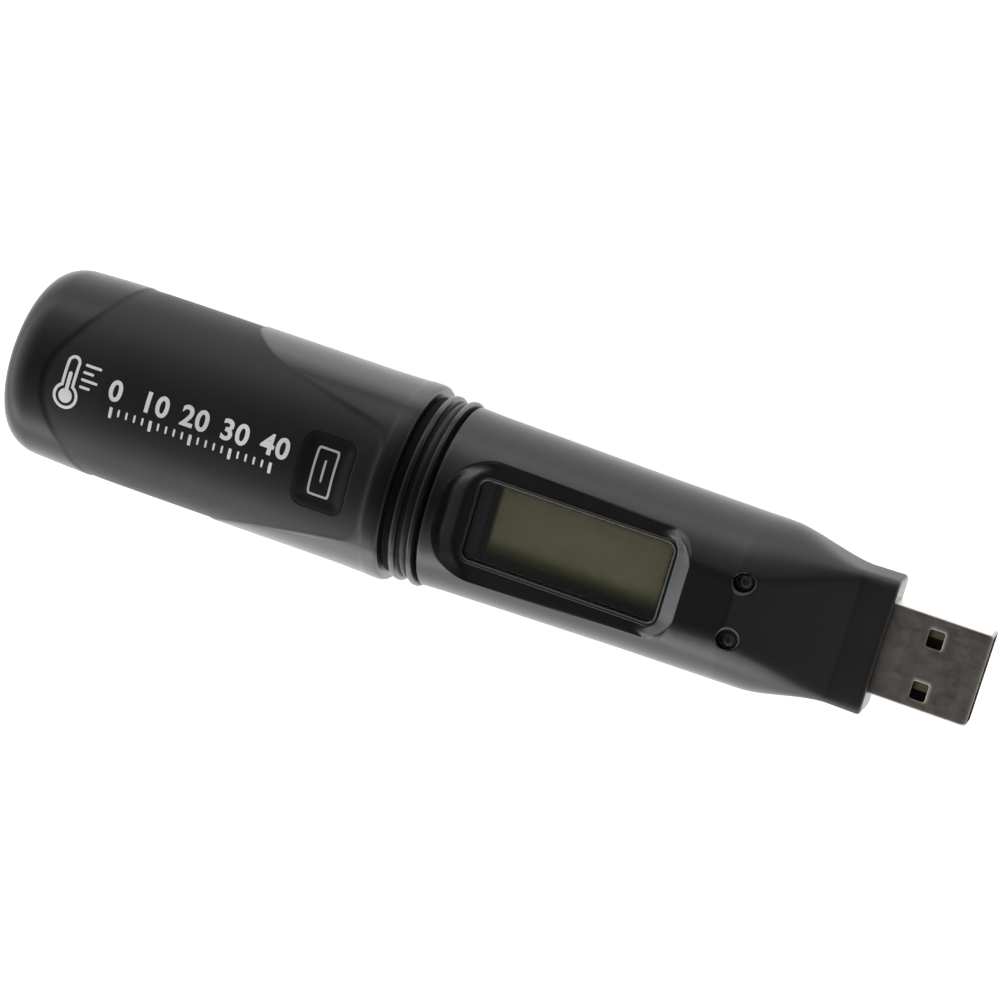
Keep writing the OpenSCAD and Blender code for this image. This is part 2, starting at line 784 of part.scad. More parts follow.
module usb_insulator() {
    inner = [plug_w / 2 - shell_t, plug_t / 2 - shell_t];
    color([0.06, 0.06, 0.06]) seated() {
        block([shell_x0, -inner[0], -inner[1]], [shell_x0 + 5, inner[0], inner[1]]);
        block([shell_x0, -inner[0], -inner[1]], [plug_tip - 0.5, inner[0], -inner[1] + tongue_t]);
    }
}

module usb_contacts() {
    color([0.85, 0.7, 0.35]) seated() for (i = [0:3])
        block([shell_x0 + 5, (i - 1.5) * contact_pitch - 0.5, -plug_t / 2 + shell_t + tongue_t],
            [plug_tip - (i == 0 || i == 3 ? 1 : 2), (i - 1.5) * contact_pitch + 0.5,
                -plug_t / 2 + shell_t + tongue_t + 0.15]);
}

module plug_seal() {
    color([0.05, 0.05, 0.05]) seated() difference() {
        block([seal_x0, -seal_half_w, -seal_half_h], [seal_x1, seal_half_w, seal_half_h]);
        block([seal_x0 - 1, -plug_w / 2, -plug_t / 2], [seal_x1 + 1, plug_w / 2, plug_t / 2]);
    }
}

battery_sleeve();
button_pad();
main_housing();
window_lens();
window_gasket();
display_glass();
display_reflector();
display_frame();
contact_strip_left();
contact_strip_right();
main_board();
microcontroller();
memory_chip();
crystal();
chip_capacitors();
light_green();
light_red();
light_pipe_left();
light_pipe_right();
switch_body();
switch_plunger();
thermistor();
o_ring_front();
o_ring_rear();
battery_carrier();
carrier_screws();
battery_can();
battery_wrap();
battery_spring();
negative_strip();
positive_contact();
usb_shell();
usb_insulator();
usb_contacts();
plug_seal();
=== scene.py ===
"""Looks of a black stick-shaped temperature data logger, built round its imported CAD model."""
import json
import math

import bmesh
import bpy
import numpy as np
from mathutils import Matrix, Vector


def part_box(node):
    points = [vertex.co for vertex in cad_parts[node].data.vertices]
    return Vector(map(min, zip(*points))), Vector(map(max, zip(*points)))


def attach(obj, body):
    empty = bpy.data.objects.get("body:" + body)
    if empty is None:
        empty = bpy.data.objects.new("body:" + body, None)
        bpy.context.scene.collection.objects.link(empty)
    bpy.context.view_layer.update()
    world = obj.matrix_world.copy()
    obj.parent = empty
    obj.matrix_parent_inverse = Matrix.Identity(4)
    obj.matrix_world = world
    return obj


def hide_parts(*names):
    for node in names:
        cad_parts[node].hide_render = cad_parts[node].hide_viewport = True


bl_info = {
    "name": "Temperature Data Logger",
    "version": (1, 0, 0),
    "blender": (4, 5, 0),
    "location": "3D View > Sidebar > Logger",
    "description": "Builds the visible pieces of a temperature data logger",
    "category": "Add Mesh",
}

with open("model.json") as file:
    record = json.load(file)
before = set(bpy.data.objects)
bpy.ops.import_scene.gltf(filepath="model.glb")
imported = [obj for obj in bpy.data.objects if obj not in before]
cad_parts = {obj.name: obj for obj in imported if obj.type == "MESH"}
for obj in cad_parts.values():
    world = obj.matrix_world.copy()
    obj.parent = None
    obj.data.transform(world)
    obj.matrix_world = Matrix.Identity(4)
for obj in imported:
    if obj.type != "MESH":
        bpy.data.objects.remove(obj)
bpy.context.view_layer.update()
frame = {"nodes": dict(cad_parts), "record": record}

MM = 0.001
# Lengths below, apart from the settings, are in millimetres along, across and above the tube's
# axis, counted from a mark near the left end of the display window.
SLEEVE_END = -64.6
PLUG_TIP = 65.5
AXIS_HEIGHT = (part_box("o_ring_front")[0].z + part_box("o_ring_front")[1].z) / 2
MARK = Vector((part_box("usb_shell")[1].x - PLUG_TIP * MM, 0, AXIS_HEIGHT))


# ---------------------------------------------------------------- settings
class LoggerSizes(bpy.types.PropertyGroup):
    """Lengths that shape the visible pieces."""

    panel_depth: bpy.props.FloatProperty(
        name="Panel depth", description="How far the label panel and grips are sunk",
        default=0.15 * MM, min=0, unit="LENGTH", precision=5)
    panel_edge: bpy.props.FloatProperty(
        name="Panel edge", description="Width of the soft step round the label panel",
        default=0.8 * MM, min=0, unit="LENGTH", precision=5)
    edge_round: bpy.props.FloatProperty(
        name="Edge round", description="Softness of the moulded edges",
        default=0.3 * MM, min=0, unit="LENGTH", precision=5)
    button_dish: bpy.props.FloatProperty(
        name="Button dish", description="How far the middle of the button is hollowed",
        default=0.32 * MM, min=0, unit="LENGTH", precision=5)
    print_height: bpy.props.FloatProperty(
        name="Print height", description="Thickness of the printed ink",
        default=0.03 * MM, min=0, unit="LENGTH", precision=5)
    camera_distance: bpy.props.FloatProperty(
        name="Camera distance", description="From the camera to the middle of the logger",
        default=0.4, min=0.1, unit="LENGTH")


class LoggerColours(bpy.types.PropertyGroup):
    """Colours of the visible pieces."""

    plastic: bpy.props.FloatVectorProperty(
        name="Plastic", description="Black plastic of the sleeve and the housing",
        default=(0.0050, 0.0049, 0.0054), min=0, max=1, subtype="COLOR")
    rubber: bpy.props.FloatVectorProperty(
        name="Rubber", description="Rubber of the button and the seals",
        default=(0.0042, 0.0042, 0.0044), min=0, max=1, subtype="COLOR")
    ink: bpy.props.FloatVectorProperty(
        name="Ink", description="Printed marks on the sleeve",
        default=(0.78, 0.78, 0.8), min=0, max=1, subtype="COLOR")
    display: bpy.props.FloatVectorProperty(
        name="Display", description="Blank liquid crystal",
        default=(0.325, 0.295, 0.185), min=0, max=1, subtype="COLOR")
    steel: bpy.props.FloatVectorProperty(
        name="Steel", description="Plug shell",
        default=(0.335, 0.305, 0.28), min=0, max=1, subtype="COLOR")


# ---------------------------------------------------------------- materials
GLOSSY = (0.24, 0.3)  # roughness of the black plastic's polished skin
WHITE = (1, 1, 1, 1)


def new_material(name):
    """The node tree and the one Principled shader of a new material."""
    material = bpy.data.materials.new(name)
    if material.name != name:
        raise RuntimeError(f"a material called {name} is there already")
    material.use_nodes = True
    tree = material.node_tree
    tree.nodes.clear()
    out = tree.nodes.new("ShaderNodeOutputMaterial")
    shader = tree.nodes.new("ShaderNodeBsdfPrincipled")
    tree.links.new(shader.outputs["BSDF"], out.inputs["Surface"])
    return tree, shader


def node(tree, kind, inputs=None, **settings):
    """Adds a node, sets its attributes, and sets or links its inputs."""
    made = tree.nodes.new(kind)
    for key, value in settings.items():
        setattr(made, key, value)
    for key, value in (inputs or {}).items():
        if isinstance(value, bpy.types.NodeSocket):
            tree.links.new(value, made.inputs[key])
        else:
            made.inputs[key].default_value = value
    return made


def math_node(tree, operation, *values):
    """The result of a Math node, given numbers or sockets."""
    return node(tree, "ShaderNodeMath", dict(enumerate(values)), operation=operation).outputs[0]


def blend(tree, factor, a, b):
    """A number between a and b, by a factor from 0 to 1."""
    return node(tree, "ShaderNodeMix", {"Factor": factor, "A": a, "B": b}).outputs["Result"]


def axes(tree, space="Object"):
    """The X, Y and Z of a place, as a node's outputs."""
    coord = node(tree, "ShaderNodeTexCoord")
    return node(tree, "ShaderNodeSeparateXYZ", {"Vector": coord.outputs[space]}).outputs


def place(tree, scale=(1, 1, 1)):
    """Places on the object itself, in millimetres, stretched by scale."""
    coord = node(tree, "ShaderNodeTexCoord").outputs["Object"]
    return node(tree, "ShaderNodeMapping", {
        "Vector": coord, "Scale": tuple(s / MM for s in scale)}).outputs["Vector"]


def grain(tree, where, scale, detail=3.0, roughness=0.5, distortion=0.0):
    return node(tree, "ShaderNodeTexNoise", {
        "Vector": where, "Scale": scale, "Detail": detail, "Roughness": roughness,
        "Distortion": distortion}).outputs["Fac"]


def spread(tree, value, low, high, start=0.3, end=0.7):
    """Maps a texture value between start and end to low and high."""
    return node(tree, "ShaderNodeMapRange", {
        "Value": value, "From Min": start, "From Max": end, "To Min": low,
        "To Max": high}).outputs["Result"]


def tint(tree, value, dark, light):
    """A colour between dark and light, by a value from 0 to 1."""
    ramp = node(tree, "ShaderNodeValToRGB", {"Fac": value})
    ramp.color_ramp.elements[0].position, ramp.color_ramp.elements[1].position = 0.3, 0.7
    ramp.color_ramp.elements[0].color = (*dark, 1)
    ramp.color_ramp.elements[1].color = (*light, 1)
    return ramp.outputs["Color"]


def cloudy(tree, value, colour, step):
    """A colour that drifts by a step to either side of itself, by a texture value."""
    return tint(tree, value, [c * (1 - step) for c in colour],
                [min(1, c * (1 + step)) for c in colour])


def bump(tree, shader, height, distance):
    """Roughens the surface by a texture value, up to a distance in millimetres."""
    made = node(tree, "ShaderNodeBump", {"Height": height, "Distance": distance * MM})
    tree.links.new(made.outputs["Normal"], shader.inputs["Normal"])


def wire(tree, shader, **inputs):
    """Links sockets to the shader's inputs, or sets them to numbers."""
    for key, value in inputs.items():
        socket = shader.inputs[key.replace("_", " ").title().replace("Ior", "IOR")]
        if isinstance(value, bpy.types.NodeSocket):
            tree.links.new(value, socket)
        else:
            socket.default_value = value


def moulded(name, colour, rough, rough_span, grain_scale, grain_depth, specular=0.5):
    """Moulded plastic or rubber: fine surface grain, and roughness that drifts a little."""
    tree, shader = new_material(name + "_finish")
    where = place(tree)
    drift = grain(tree, where, 0.12, 4.0)
    wire(tree, shader, base_color=cloudy(tree, drift, colour, 0.1),
         roughness=spread(tree, drift, rough - rough_span, rough + rough_span),
         specular_ior_level=specular)
    bump(tree, shader, grain(tree, where, grain_scale, 2.0, 0.6), grain_depth)


def sleeve_material(colour):
    """Glossy at the two ends, satin (1) on the sunken panel, dull (2) in the joint's grooves.

    The raised skin is polished where the fingers hold it, down the flanks beside the joint.
    """
    tree, shader = new_material("sleeve_plastic_finish")
    where = place(tree)
    satin = node(tree, "ShaderNodeAttribute", attribute_name="satin").outputs["Fac"]
    drift = grain(tree, where, 0.1, 4.0)
    skin = blend(tree, satin, spread(tree, drift, *GLOSSY), spread(tree, drift, 0.43, 0.5))
    groove = spread(tree, satin, 0.0, 1.0, 1.0, 2.0)
    x, y, _ = axes(tree)
    # the polish starts lower on the +Y flank, as the photograph's bright band does
    side = math_node(tree, "ABSOLUTE", math_node(tree, "ADD", y, -1.5 * MM))
    polish = spread(tree, satin, 1.0, 0.0)
    for share in (spread(tree, side, 0.0, 1.0, 9.1 * MM, 10.4 * MM),
                  spread(tree, x, 0.0, 1.0, MARK.x - 46 * MM, MARK.x - 42 * MM)):
        polish = math_node(tree, "MULTIPLY", polish, share)
    wire(tree, shader, base_color=cloudy(tree, drift, colour, 0.1),
         roughness=blend(tree, groove, skin, 0.85),
         specular_ior_level=spread(tree, polish, 0.26, 0.9, 0.0, 1.0))
    depth = math_node(tree, "ADD", math_node(tree, "MULTIPLY", satin, 0.85), 0.15)
    bump(tree, shader, math_node(tree, "MULTIPLY", grain(tree, where, 5.0, 2.0, 0.65), depth), 0.02)


def housing_material(colour):
    """Satin gloss on the tube, coarser down the facet to the flange."""
    tree, shader = new_material("housing_plastic_finish")
    x = axes(tree)["X"]
    start, end = (MARK.x + at * MM for at in (37, FLANGE_END))
    slope = spread(tree, x, 0.0, 1.0, start, end - 3 * MM)
    face = spread(tree, x, 1.0, 0.0, end - 0.25 * MM, end - 0.1 * MM)
    coarse = math_node(tree, "MULTIPLY", slope, face)
    where = place(tree)
    drift = grain(tree, where, 0.12, 4.0)
    rough = blend(tree, coarse, spread(tree, drift, *GLOSSY), spread(tree, drift, 0.45, 0.5))
    wire(tree, shader, base_color=cloudy(tree, drift, colour, 0.1), roughness=rough)
    bump(tree, shader, grain(tree, where, 4.0, 2.0, 0.6), 0.0025)


def metal(name, colour, rough, rough_span, stretch, depth, scale=1.0, rim=None):
    """Drawn or plated metal: fine scratches, and, given a rim, a painted highlight: a lighter
    colour beyond a reach to both sides.
    """
    tree, shader = new_material(name + "_finish")
    lines = grain(tree, place(tree, stretch), scale, 4.0, 0.65)
    cloud = grain(tree, place(tree), 0.5, 5.0, 0.6, 0.4)
    skin = cloudy(tree, cloud, colour, 0.16)
    if rim:
        # painted highlight: beyond the reach on either side the metal takes a lighter colour
        reach, bright = rim
        side = math_node(tree, "ABSOLUTE", axes(tree)["Y"])
        # the Mix node's colour sockets go by number: 0 is the factor, 6 and 7 the two colours
        skin = node(tree, "ShaderNodeMix", {
            0: spread(tree, side, 0.0, 1.0, reach - 0.1 * MM, reach), 6: skin,
            7: (*bright, 1)}, data_type="RGBA").outputs[2]
    both = math_node(tree, "ADD", lines, cloud)
    wire(tree, shader, metallic=1.0, base_color=skin,
         roughness=spread(tree, both, rough - rough_span, rough + rough_span, 0.7, 1.3))
    bump(tree, shader, lines, depth)


def clear(name, colour, rough):
    """Clear moulded plastic, whose faint marks show in its gloss."""
    tree, shader = new_material(name + "_finish")
    marks = grain(tree, place(tree), 0.6, 5.0, 0.6)
    wire(tree, shader, transmission_weight=1.0, ior=1.49,
         base_color=cloudy(tree, marks, colour, 0.03),
         roughness=spread(tree, marks, rough * 0.5, rough * 1.5))


def display_material(colour):
    """Blank liquid crystal: olive grey, with painted shade of the window's recess, darker and
    greener towards its four edges.
    """
    tree, shader = new_material("display_finish")
    x, y, _ = axes(tree)
    left, right = MARK.x + 2.2 * MM, MARK.x + 25.6 * MM
    cloud = grain(tree, place(tree), 0.25, 3.0)
    tone_and_painted_shade = spread(tree, cloud, 0.94, 1.0)
    # painted shade of the recess walls: each edge darkens from its lit inner place to its dark
    # outer one
    for at, outer, inner in ((x, left, left + 0.7 * MM), (x, right + 0.5 * MM, right - 0.8 * MM),
                             (y, -4.5 * MM, -1.3 * MM), (y, 5.4 * MM, 4.4 * MM)):
        border = node(tree, "ShaderNodeMapRange", {
            "Value": at, "From Min": outer, "From Max": inner}, interpolation_type="SMOOTHSTEP")
        tone_and_painted_shade = math_node(tree, "MULTIPLY", tone_and_painted_shade, border.outputs["Result"])
    # the ramp colours the random tone and the painted shade: near black at the edges, greener half
    # way, olive where unshaded
    ramp = node(tree, "ShaderNodeValToRGB", {"Fac": tone_and_painted_shade})
    stops = ramp.color_ramp.elements
    stops[0].color = (0.004, 0.0045, 0.003, 1)
    stops[1].color = (*colour, 1)
    middle = stops.new(0.5)
    middle.color = (colour[0] * 0.36, colour[1] * 0.42, colour[2] * 0.26, 1)
    wire(tree, shader, base_color=ramp.outputs["Color"], roughness=spread(tree, cloud, 0.28, 0.4),
         specular_ior_level=0.08)
    bump(tree, shader, grain(tree, place(tree), 6.0), 0.002)


def floor_material():
    """Pale floor: white where the camera, gloss or clear plastic sees it, but keeping shade."""
    tree, shader = new_material("pale_floor")
    cloud = grain(tree, place(tree), 0.02, 4.0)
    wire(tree, shader, base_color=cloudy(tree, cloud, (0.8, 0.8, 0.8), 0.01), roughness=0.9,
         specular_ior_level=0.1)
    path = node(tree, "ShaderNodeLightPath").outputs
    mirrored = math_node(tree, "MAXIMUM", path["Is Glossy Ray"], path["Is Transmission Ray"])
    level = math_node(tree, "MULTIPLY_ADD", path["Is Camera Ray"], 0.8, mirrored)
    glow = node(tree, "ShaderNodeEmission", {"Color": WHITE, "Strength": level})
    both = node(tree, "ShaderNodeAddShader", {0: shader.outputs["BSDF"],
                                              1: glow.outputs["Emission"]})
    out = next(n for n in tree.nodes if n.type == "OUTPUT_MATERIAL")
    tree.links.new(both.outputs["Shader"], out.inputs["Surface"])


# ---------------------------------------------------------------- mesh tools
# how many points a ring round the tube has, and their angles from straight up towards +Y
AROUND = 360
TURNS = np.radians(np.arange(AROUND) * 360 / AROUND)


def soft_min(a, b, k):
    """The lower of two heights, rounded off where they meet over a width of about k."""
    h = np.clip(0.5 + 0.5 * (b - a) / k, 0, 1)
    return b * (1 - h) + a * h - k * h * (1 - h)


def smooth_step(u):
    u = np.clip(u, 0, 1)
    return u * u * (3 - 2 * u)


def steps(start, stop, size):
    """Evenly spaced places from start to stop, about size apart."""
    return np.linspace(start, stop, max(2, int(round(abs(stop - start) / size)) + 1))


def nearest(places, x):
    """The number of the place that is nearest to x."""
    return int(np.argmin(abs(np.array(places) - x)))


def grown(shape, by):
    """A rounded rectangle (start, end, half width, corner), larger all round."""
    x0, x1, half, corner = shape
    return x0 - by, x1 + by, half + by, corner + by


class Skin:
    """Collects rows of points and the faces between them, and makes them one mesh."""

    def __init__(self):
        self.points, self.faces, self.last = [], [], None

    def row(self, points):
        """Adds points, and gives their numbers."""
        start = len(self.points)
        self.points.extend([tuple(p) for p in points])
        return list(range(start, start + len(points)))

    def ring(self, x, radius):
        """A row round the tube's axis, with one radius or one for each of TURNS."""
        return self.row(np.c_[np.full(AROUND, x), radius * np.sin(TURNS), radius * np.cos(TURNS)])

    def lay(self, flat, height):
        """A row over places seen from above, joined to the row that was laid before."""
        row = self.row(np.c_[flat, np.broadcast_to(height, len(flat))])
        if self.last:
            self.bridge(self.last, row)
        self.last = row
        return row

    def bridge(self, *rows):
        """Joins each closed row to the next."""
        for a, b in zip(rows, rows[1:]):
            for i in range(len(a)):
                j = (i + 1) % len(a)
                self.faces.append((a[i], a[j], b[j], b[i]))

    def quilt(self, grid, holes):
        """Joins the closed rows of a grid, apart from its holes, each (i0, i1, j0, j1)."""
        count = len(grid[0])
        empty = {(i, j % count) for i0, i1, j0, j1 in holes
                 for i in range(i0, i1) for j in range(j0, j1)}
        for i, (a, b) in enumerate(zip(grid, grid[1:])):
            for j in range(count):
                if (i, j) not in empty:
                    k = (j + 1) % count
                    self.faces.append((a[j], a[k], b[k], b[j]))

    def cap(self, row):
        """Closes a ring with triangles to its middle."""
        middle = np.mean([self.points[i] for i in row], axis=0)
        hub = self.row([middle])[0]
        for i in range(len(row)):
            self.faces.append((row[i], row[(i + 1) % len(row)], hub))

    def mesh(self, name):
        """The mesh, with loose points dropped and its faces turned outwards."""
        points = np.array(self.points, float) * MM + np.array(MARK)
        mesh = bpy.data.meshes.new(name)
        mesh.from_pydata([tuple(p) for p in points], [], self.faces)
        work = bmesh.new()
        work.from_mesh(mesh)
        bmesh.ops.delete(work, geom=[v for v in work.verts if not v.link_faces], context="VERTS")
        bmesh.ops.recalc_face_normals(work, faces=work.faces)
        work.to_mesh(mesh)
        work.free()
        return mesh


def put(name, data):
    """An object made of the data, in the scene."""
    made = bpy.data.objects.new(name, data)
    bpy.context.scene.collection.objects.link(made)
    return made


def add_piece(name, mesh, body, slot, replaces=(), sharp=35, material=None):
    """Makes a piece of a mesh, smooth but for its sharp edges, and seats it on its body."""
    work = bmesh.new()
    work.from_mesh(mesh)
    bmesh.ops.remove_doubles(work, verts=work.verts, dist=4e-6)
    bmesh.ops.dissolve_degenerate(work, edges=work.edges, dist=2e-6)
    work.to_mesh(mesh)
    work.free()
    piece = put(name, mesh)
    mesh.materials.clear()
    mesh.materials.append(material or finish(slot))
    mesh.polygons.foreach_set("use_smooth", [True] * len(mesh.polygons))
    mesh.set_sharp_from_angle(angle=math.radians(sharp))
    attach(piece, body)
    if replaces:
        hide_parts(*replaces)
    return piece


def cut(mesh, cutters):
    """The mesh less each cutter in turn."""
    body = put("cutting", mesh)
    for cutter in cutters:
        tool = put("cutter", cutter)
        change = body.modifiers.new("cut", "BOOLEAN")
        change.operation, change.solver, change.object = "DIFFERENCE", "EXACT", tool
        graph = bpy.context.evaluated_depsgraph_get()
        made = bpy.data.meshes.new_from_object(body.evaluated_get(graph))
        body.modifiers.clear()
        body.data = made
        bpy.data.objects.remove(tool)
    result = body.data
    bpy.data.objects.remove(body)
    if not result.polygons:
        raise RuntimeError("a cut left nothing of the piece")
    return result


def bar(outline, x0, x1):
    """A mesh that runs along the tube from x0 to x1, with an outline of (across, above)."""
    skin = Skin()
    a, b = (skin.row([(x, y, z) for y, z in outline]) for x in (x0, x1))
    skin.bridge(a, b)
    skin.cap(a)
    skin.cap(b)
    return skin.mesh("bar")


def round_outline(radius, count):
    return [(radius * math.sin(t), radius * math.cos(t))
            for t in np.linspace(0, 2 * math.pi, count, endpoint=False)]


def box_outline(half_w, low, high):
    return [(-half_w, low), (half_w, low), (half_w, high), (-half_w, high)]


def rounded_side(side, share, x0, x1, half, corner):
    """A point on one side of a rounded rectangle; share -1 to 1 runs from corner to corner.

    The places are pressed together towards the corners, which need them most. The corners have
    one radius, or one at each end."""
    share = 1.25 * share - 0.25 * share ** 3
    left, right = corner if isinstance(corner, tuple) else (corner, corner)
    upright = side in ("left", "right")
    radius = left if side == "left" or (not upright and share < 0) else right
    straight = (half if upright else (x1 - x0) / 2) - radius
    along = abs(share) * (straight + radius * math.pi / 4)
    if along <= straight:
        u, v = along, 0.0
    else:
        angle = (along - straight) / radius
        u, v = straight + radius * math.sin(angle), radius * (1 - math.cos(angle))
    u = math.copysign(u, share)
    middle = (x0 + x1) / 2
    return {"left": (x0 + v, u), "right": (x1 - v, u),
            "top": (middle + u, half - v), "bottom": (middle + u, -half + v)}[side]


def bend(before, corner, after, reach):
    """Rows of points that turn softly at a corner row, within reach of it on both sides."""
    ends = []
    for other in (before, after):
        way = other - corner
        size = np.maximum(np.linalg.norm(way, axis=1, keepdims=True), 1e-6)
        ends.append(corner + way * np.minimum(reach / size, 0.42))
    return [(1 - u) ** 2 * ends[0] + 2 * u * (1 - u) * corner + u * u * ends[1]
            for u in np.linspace(0, 1, 5)]


class Loop:
    """Places round four sides, which match rounded rectangles and circles to one another."""

    def __init__(self, per_side):
        up = [2 * k / per_side - 1 for k in range(per_side)]
        self.shares = [(side, turn * share) for side, turn in
                       (("left", 1), ("top", 1), ("right", -1), ("bottom", -1)) for share in up]

    def box(self, x0, x1, half, corner, centre=0.0):
        """Points (along, across) of a rounded rectangle."""
        flat = [rounded_side(side, share, x0, x1, half, corner) for side, share in self.shares]
        return np.array(flat) + np.array([0, centre])

    def ring(self, x, y, radius):
        """Points (along, across) of a circle."""
        start = {"left": 180, "top": 90, "right": 0, "bottom": 270}
        turn = {"left": -45, "top": -45, "right": 45, "bottom": 45}
        angles = [math.radians(start[s] + turn[s] * f) for s, f in self.shares]
        return np.array([(x + radius * math.cos(a), y + radius * math.sin(a)) for a in angles])


class Patch(Loop):
    """A rectangular opening in a grid of rows, with loops that match its border."""

    def __init__(self, skin, grid, hole):
        """grid[i][j] is a point's number, i along the tube and j around it."""
        i0, i1, j0, j1 = hole
        self.border, self.shares = [], []
        for j in range(j0, j1):
            self.add(grid[i0], j, "left", j, j0, j1)
        for i in range(i0, i1):
            self.add(grid[i], j1, "top", i, i0, i1)
        for j in range(j1, j0, -1):
            self.add(grid[i1], j, "right", j, j0, j1)
        for i in range(i1, i0, -1):
            self.add(grid[i], j0, "bottom", i, i0, i1)
        self.places = np.array([skin.points[i][:2] for i in self.border])
        skin.last = self.border

    def add(self, row, j, side, k, low, high):
        self.border.append(row[j % len(row)])
        self.shares.append((side, 2 * (k - low) / (high - low) - 1))

    def towards(self, loop, shares):
        """Places on the way from the border to a loop."""
        return [self.places + (loop - self.places) * share for share in shares]


# ---------------------------------------------------------------- shape of the housing
SHOULDER, NECK_END, NECK_R = -5.3, -15.0, 10.82
FRONT_R = 11.1
SLOPE, FLAT_START, UNDER_START, NARROW_START, SQUARE_START = (34.6, 48.4), 27.3, 36.0, 37.5, 37
# the width over which two surfaces meet, and a height above all of the tube
CREASE, NO_PLANE = 0.3, 30.0
CROWN, FLANGE_H, FLANGE_W, FLANGE_END, FLANGE_BEVEL = 10.4, 3.9, 8.75, 52.9, 0.5
DISH = (-3.9, 28.4, 7.95, (6.0, 4.0))
DISH_WALL = (-3.15, 28.25, 7.7, (5.4, 3.9))
DISH_FOOT = (-1.75, 26.35, 6.95, (4.2, 3.0))
DISH_FLOOR, LEDGE, RAMP_FOOT = 8.6, 9.65, 8.85
# where each end ramp of the dish meets the floor, and its length
LEFT_RAMP, RIGHT_RAMP = (0.8, 3.5), (25.0, 2.4)
WINDOW = (0.0, 25.7, 5.15, 1.0)
RIM_W = 0.6
RIM_OUTER = grown(WINDOW, RIM_W)
# how far in from the rim's outline, and how high over the dish's floor
RIM_STEPS = ((0.02, 0.07), (0.06, 0.17), (0.12, 0.25), (0.19, 0.29), (0.27, 0.29), (0.35, 0.25),
             (0.43, 0.19), (0.51, 0.11), (0.57, 0.03), (RIM_W, -0.05), (RIM_W, -0.6),
             (RIM_W, -1.7))
LIGHT = (35.3, 3.75)
LIGHT_HOLE, SINK = 1.22, 0.42
GROOVES, GROOVE_HALF, GROOVE_R = (-12.1, -8.0), 0.75, 9.6
PLUG_PIT = (46.2, 6.05, 2.3)


def tube_radius(x):
    return np.interp(x, [SHOULDER, -2.1, 21, 33.6], [11.95, 11.81, 11.27, FRONT_R])


def half_width(x):
    narrowing = (FRONT_R - FLANGE_W) * smooth_step((x - NARROW_START) / (SLOPE[1] - NARROW_START))
    flare = 0.1 * np.clip((x - SLOPE[1]) / 4, 0, 1)
    return tube_radius(x) - narrowing + flare


def slope_share(x, start):
    return np.clip((x - start) / (SLOPE[1] - start), 0, 1)


def top_plane(x):
    """Height of the flat strip and of the sloped facet."""
    plane = CROWN + (FLANGE_H - CROWN) * slope_share(x, SLOPE[0])
    return np.where(x < FLAT_START, NO_PLANE, plane)


def under_plane(x):
    """Depth of the taper under the plug's end."""
    plane = FRONT_R + (FLANGE_H - FRONT_R) * slope_share(x, UNDER_START)
    return np.where(x < UNDER_START, NO_PLANE, plane)


def full_height(x):
    """Height of the rounded section without its flat, which sets how wide the facet is."""
    facet_half = np.interp(x, [SLOPE[0], SLOPE[1], FLANGE_END], [3.88, 7.55, 6.7])
    n = squareness(x)
    crowned = top_plane(x) / (1 - (facet_half / half_width(x)) ** n) ** (1 / n)
    return np.where(x < SLOPE[0], tube_radius(x), crowned)


def squareness(x):
    """The power of the section's curve: 2 on the round tube, 8 on the flange."""
    return 2 + 6 * np.clip((x - SQUARE_START) / (SLOPE[1] - SQUARE_START), 0, 1) ** 3


def section_radius(x, phi, inset):
    """Distance from the axis to the housing's skin, at an angle phi from straight up."""
    n = squareness(x)
    w, h = half_width(x) - inset, full_height(x) - inset
    under = np.maximum(full_height(x), np.minimum(under_plane(x) * 1.02, FRONT_R)) - inset
    s, c = np.abs(np.sin(phi)), np.cos(phi)
    tall = np.where(c > 0, h, under)
    radius = ((s / w) ** n + (np.abs(c) / tall) ** n) ** (-1 / n)
    plane = np.where(c > 0, top_plane(x), under_plane(x)) - inset
    flat = plane / np.maximum(np.abs(c), 0.02)
    return soft_min(radius, flat, CREASE)


def skin_height(x, y):
    """Height of the housing's skin over a place seen from above."""
    n, w, h = squareness(x), half_width(x), full_height(x)
    shell = h * np.clip(1 - np.abs(y / w) ** n, 0, 1) ** (1 / n)
    return soft_min(shell, top_plane(x), CREASE)


def outline_gap(x, y, x0, x1, half, corner):
    """Distance outside a rounded rectangle; less than 0 inside it."""
    dx = np.abs(x - (x0 + x1) / 2) - (x1 - x0) / 2 + corner
    dy = np.abs(y) - half + corner
    outside = np.hypot(np.maximum(dx, 0), np.maximum(dy, 0))
    return outside + np.minimum(np.maximum(dx, dy), 0) - corner


def dish_rows(loop):
    """Rows of points of the dish, from its outline down its end ramps to its flat floor."""
    rows = []
    for shape in (DISH, DISH_WALL, DISH_FOOT):
        flat = loop.box(*shape)
        # the dish narrows towards the plug
        flat[:, 1] *= np.interp(flat[:, 0], [0, 25], [1, 0.93])
        rows.append(flat)
    rows.append(loop.box(*RIM_OUTER))
    along = rows[0][:, 0]
    left = smooth_step((LEFT_RAMP[0] - along) / LEFT_RAMP[1])
    right = smooth_step((along - RIGHT_RAMP[0]) / RIGHT_RAMP[1])
    heights = [skin_height(*rows[0].T),
               DISH_FLOOR + left * (LEDGE - DISH_FLOOR) + right * (CROWN - 0.1 - DISH_FLOOR)]
    heights += [DISH_FLOOR + right * (RAMP_FOOT - DISH_FLOOR)] * 2
    return [np.c_[flat, height] for flat, height in zip(rows, heights)]


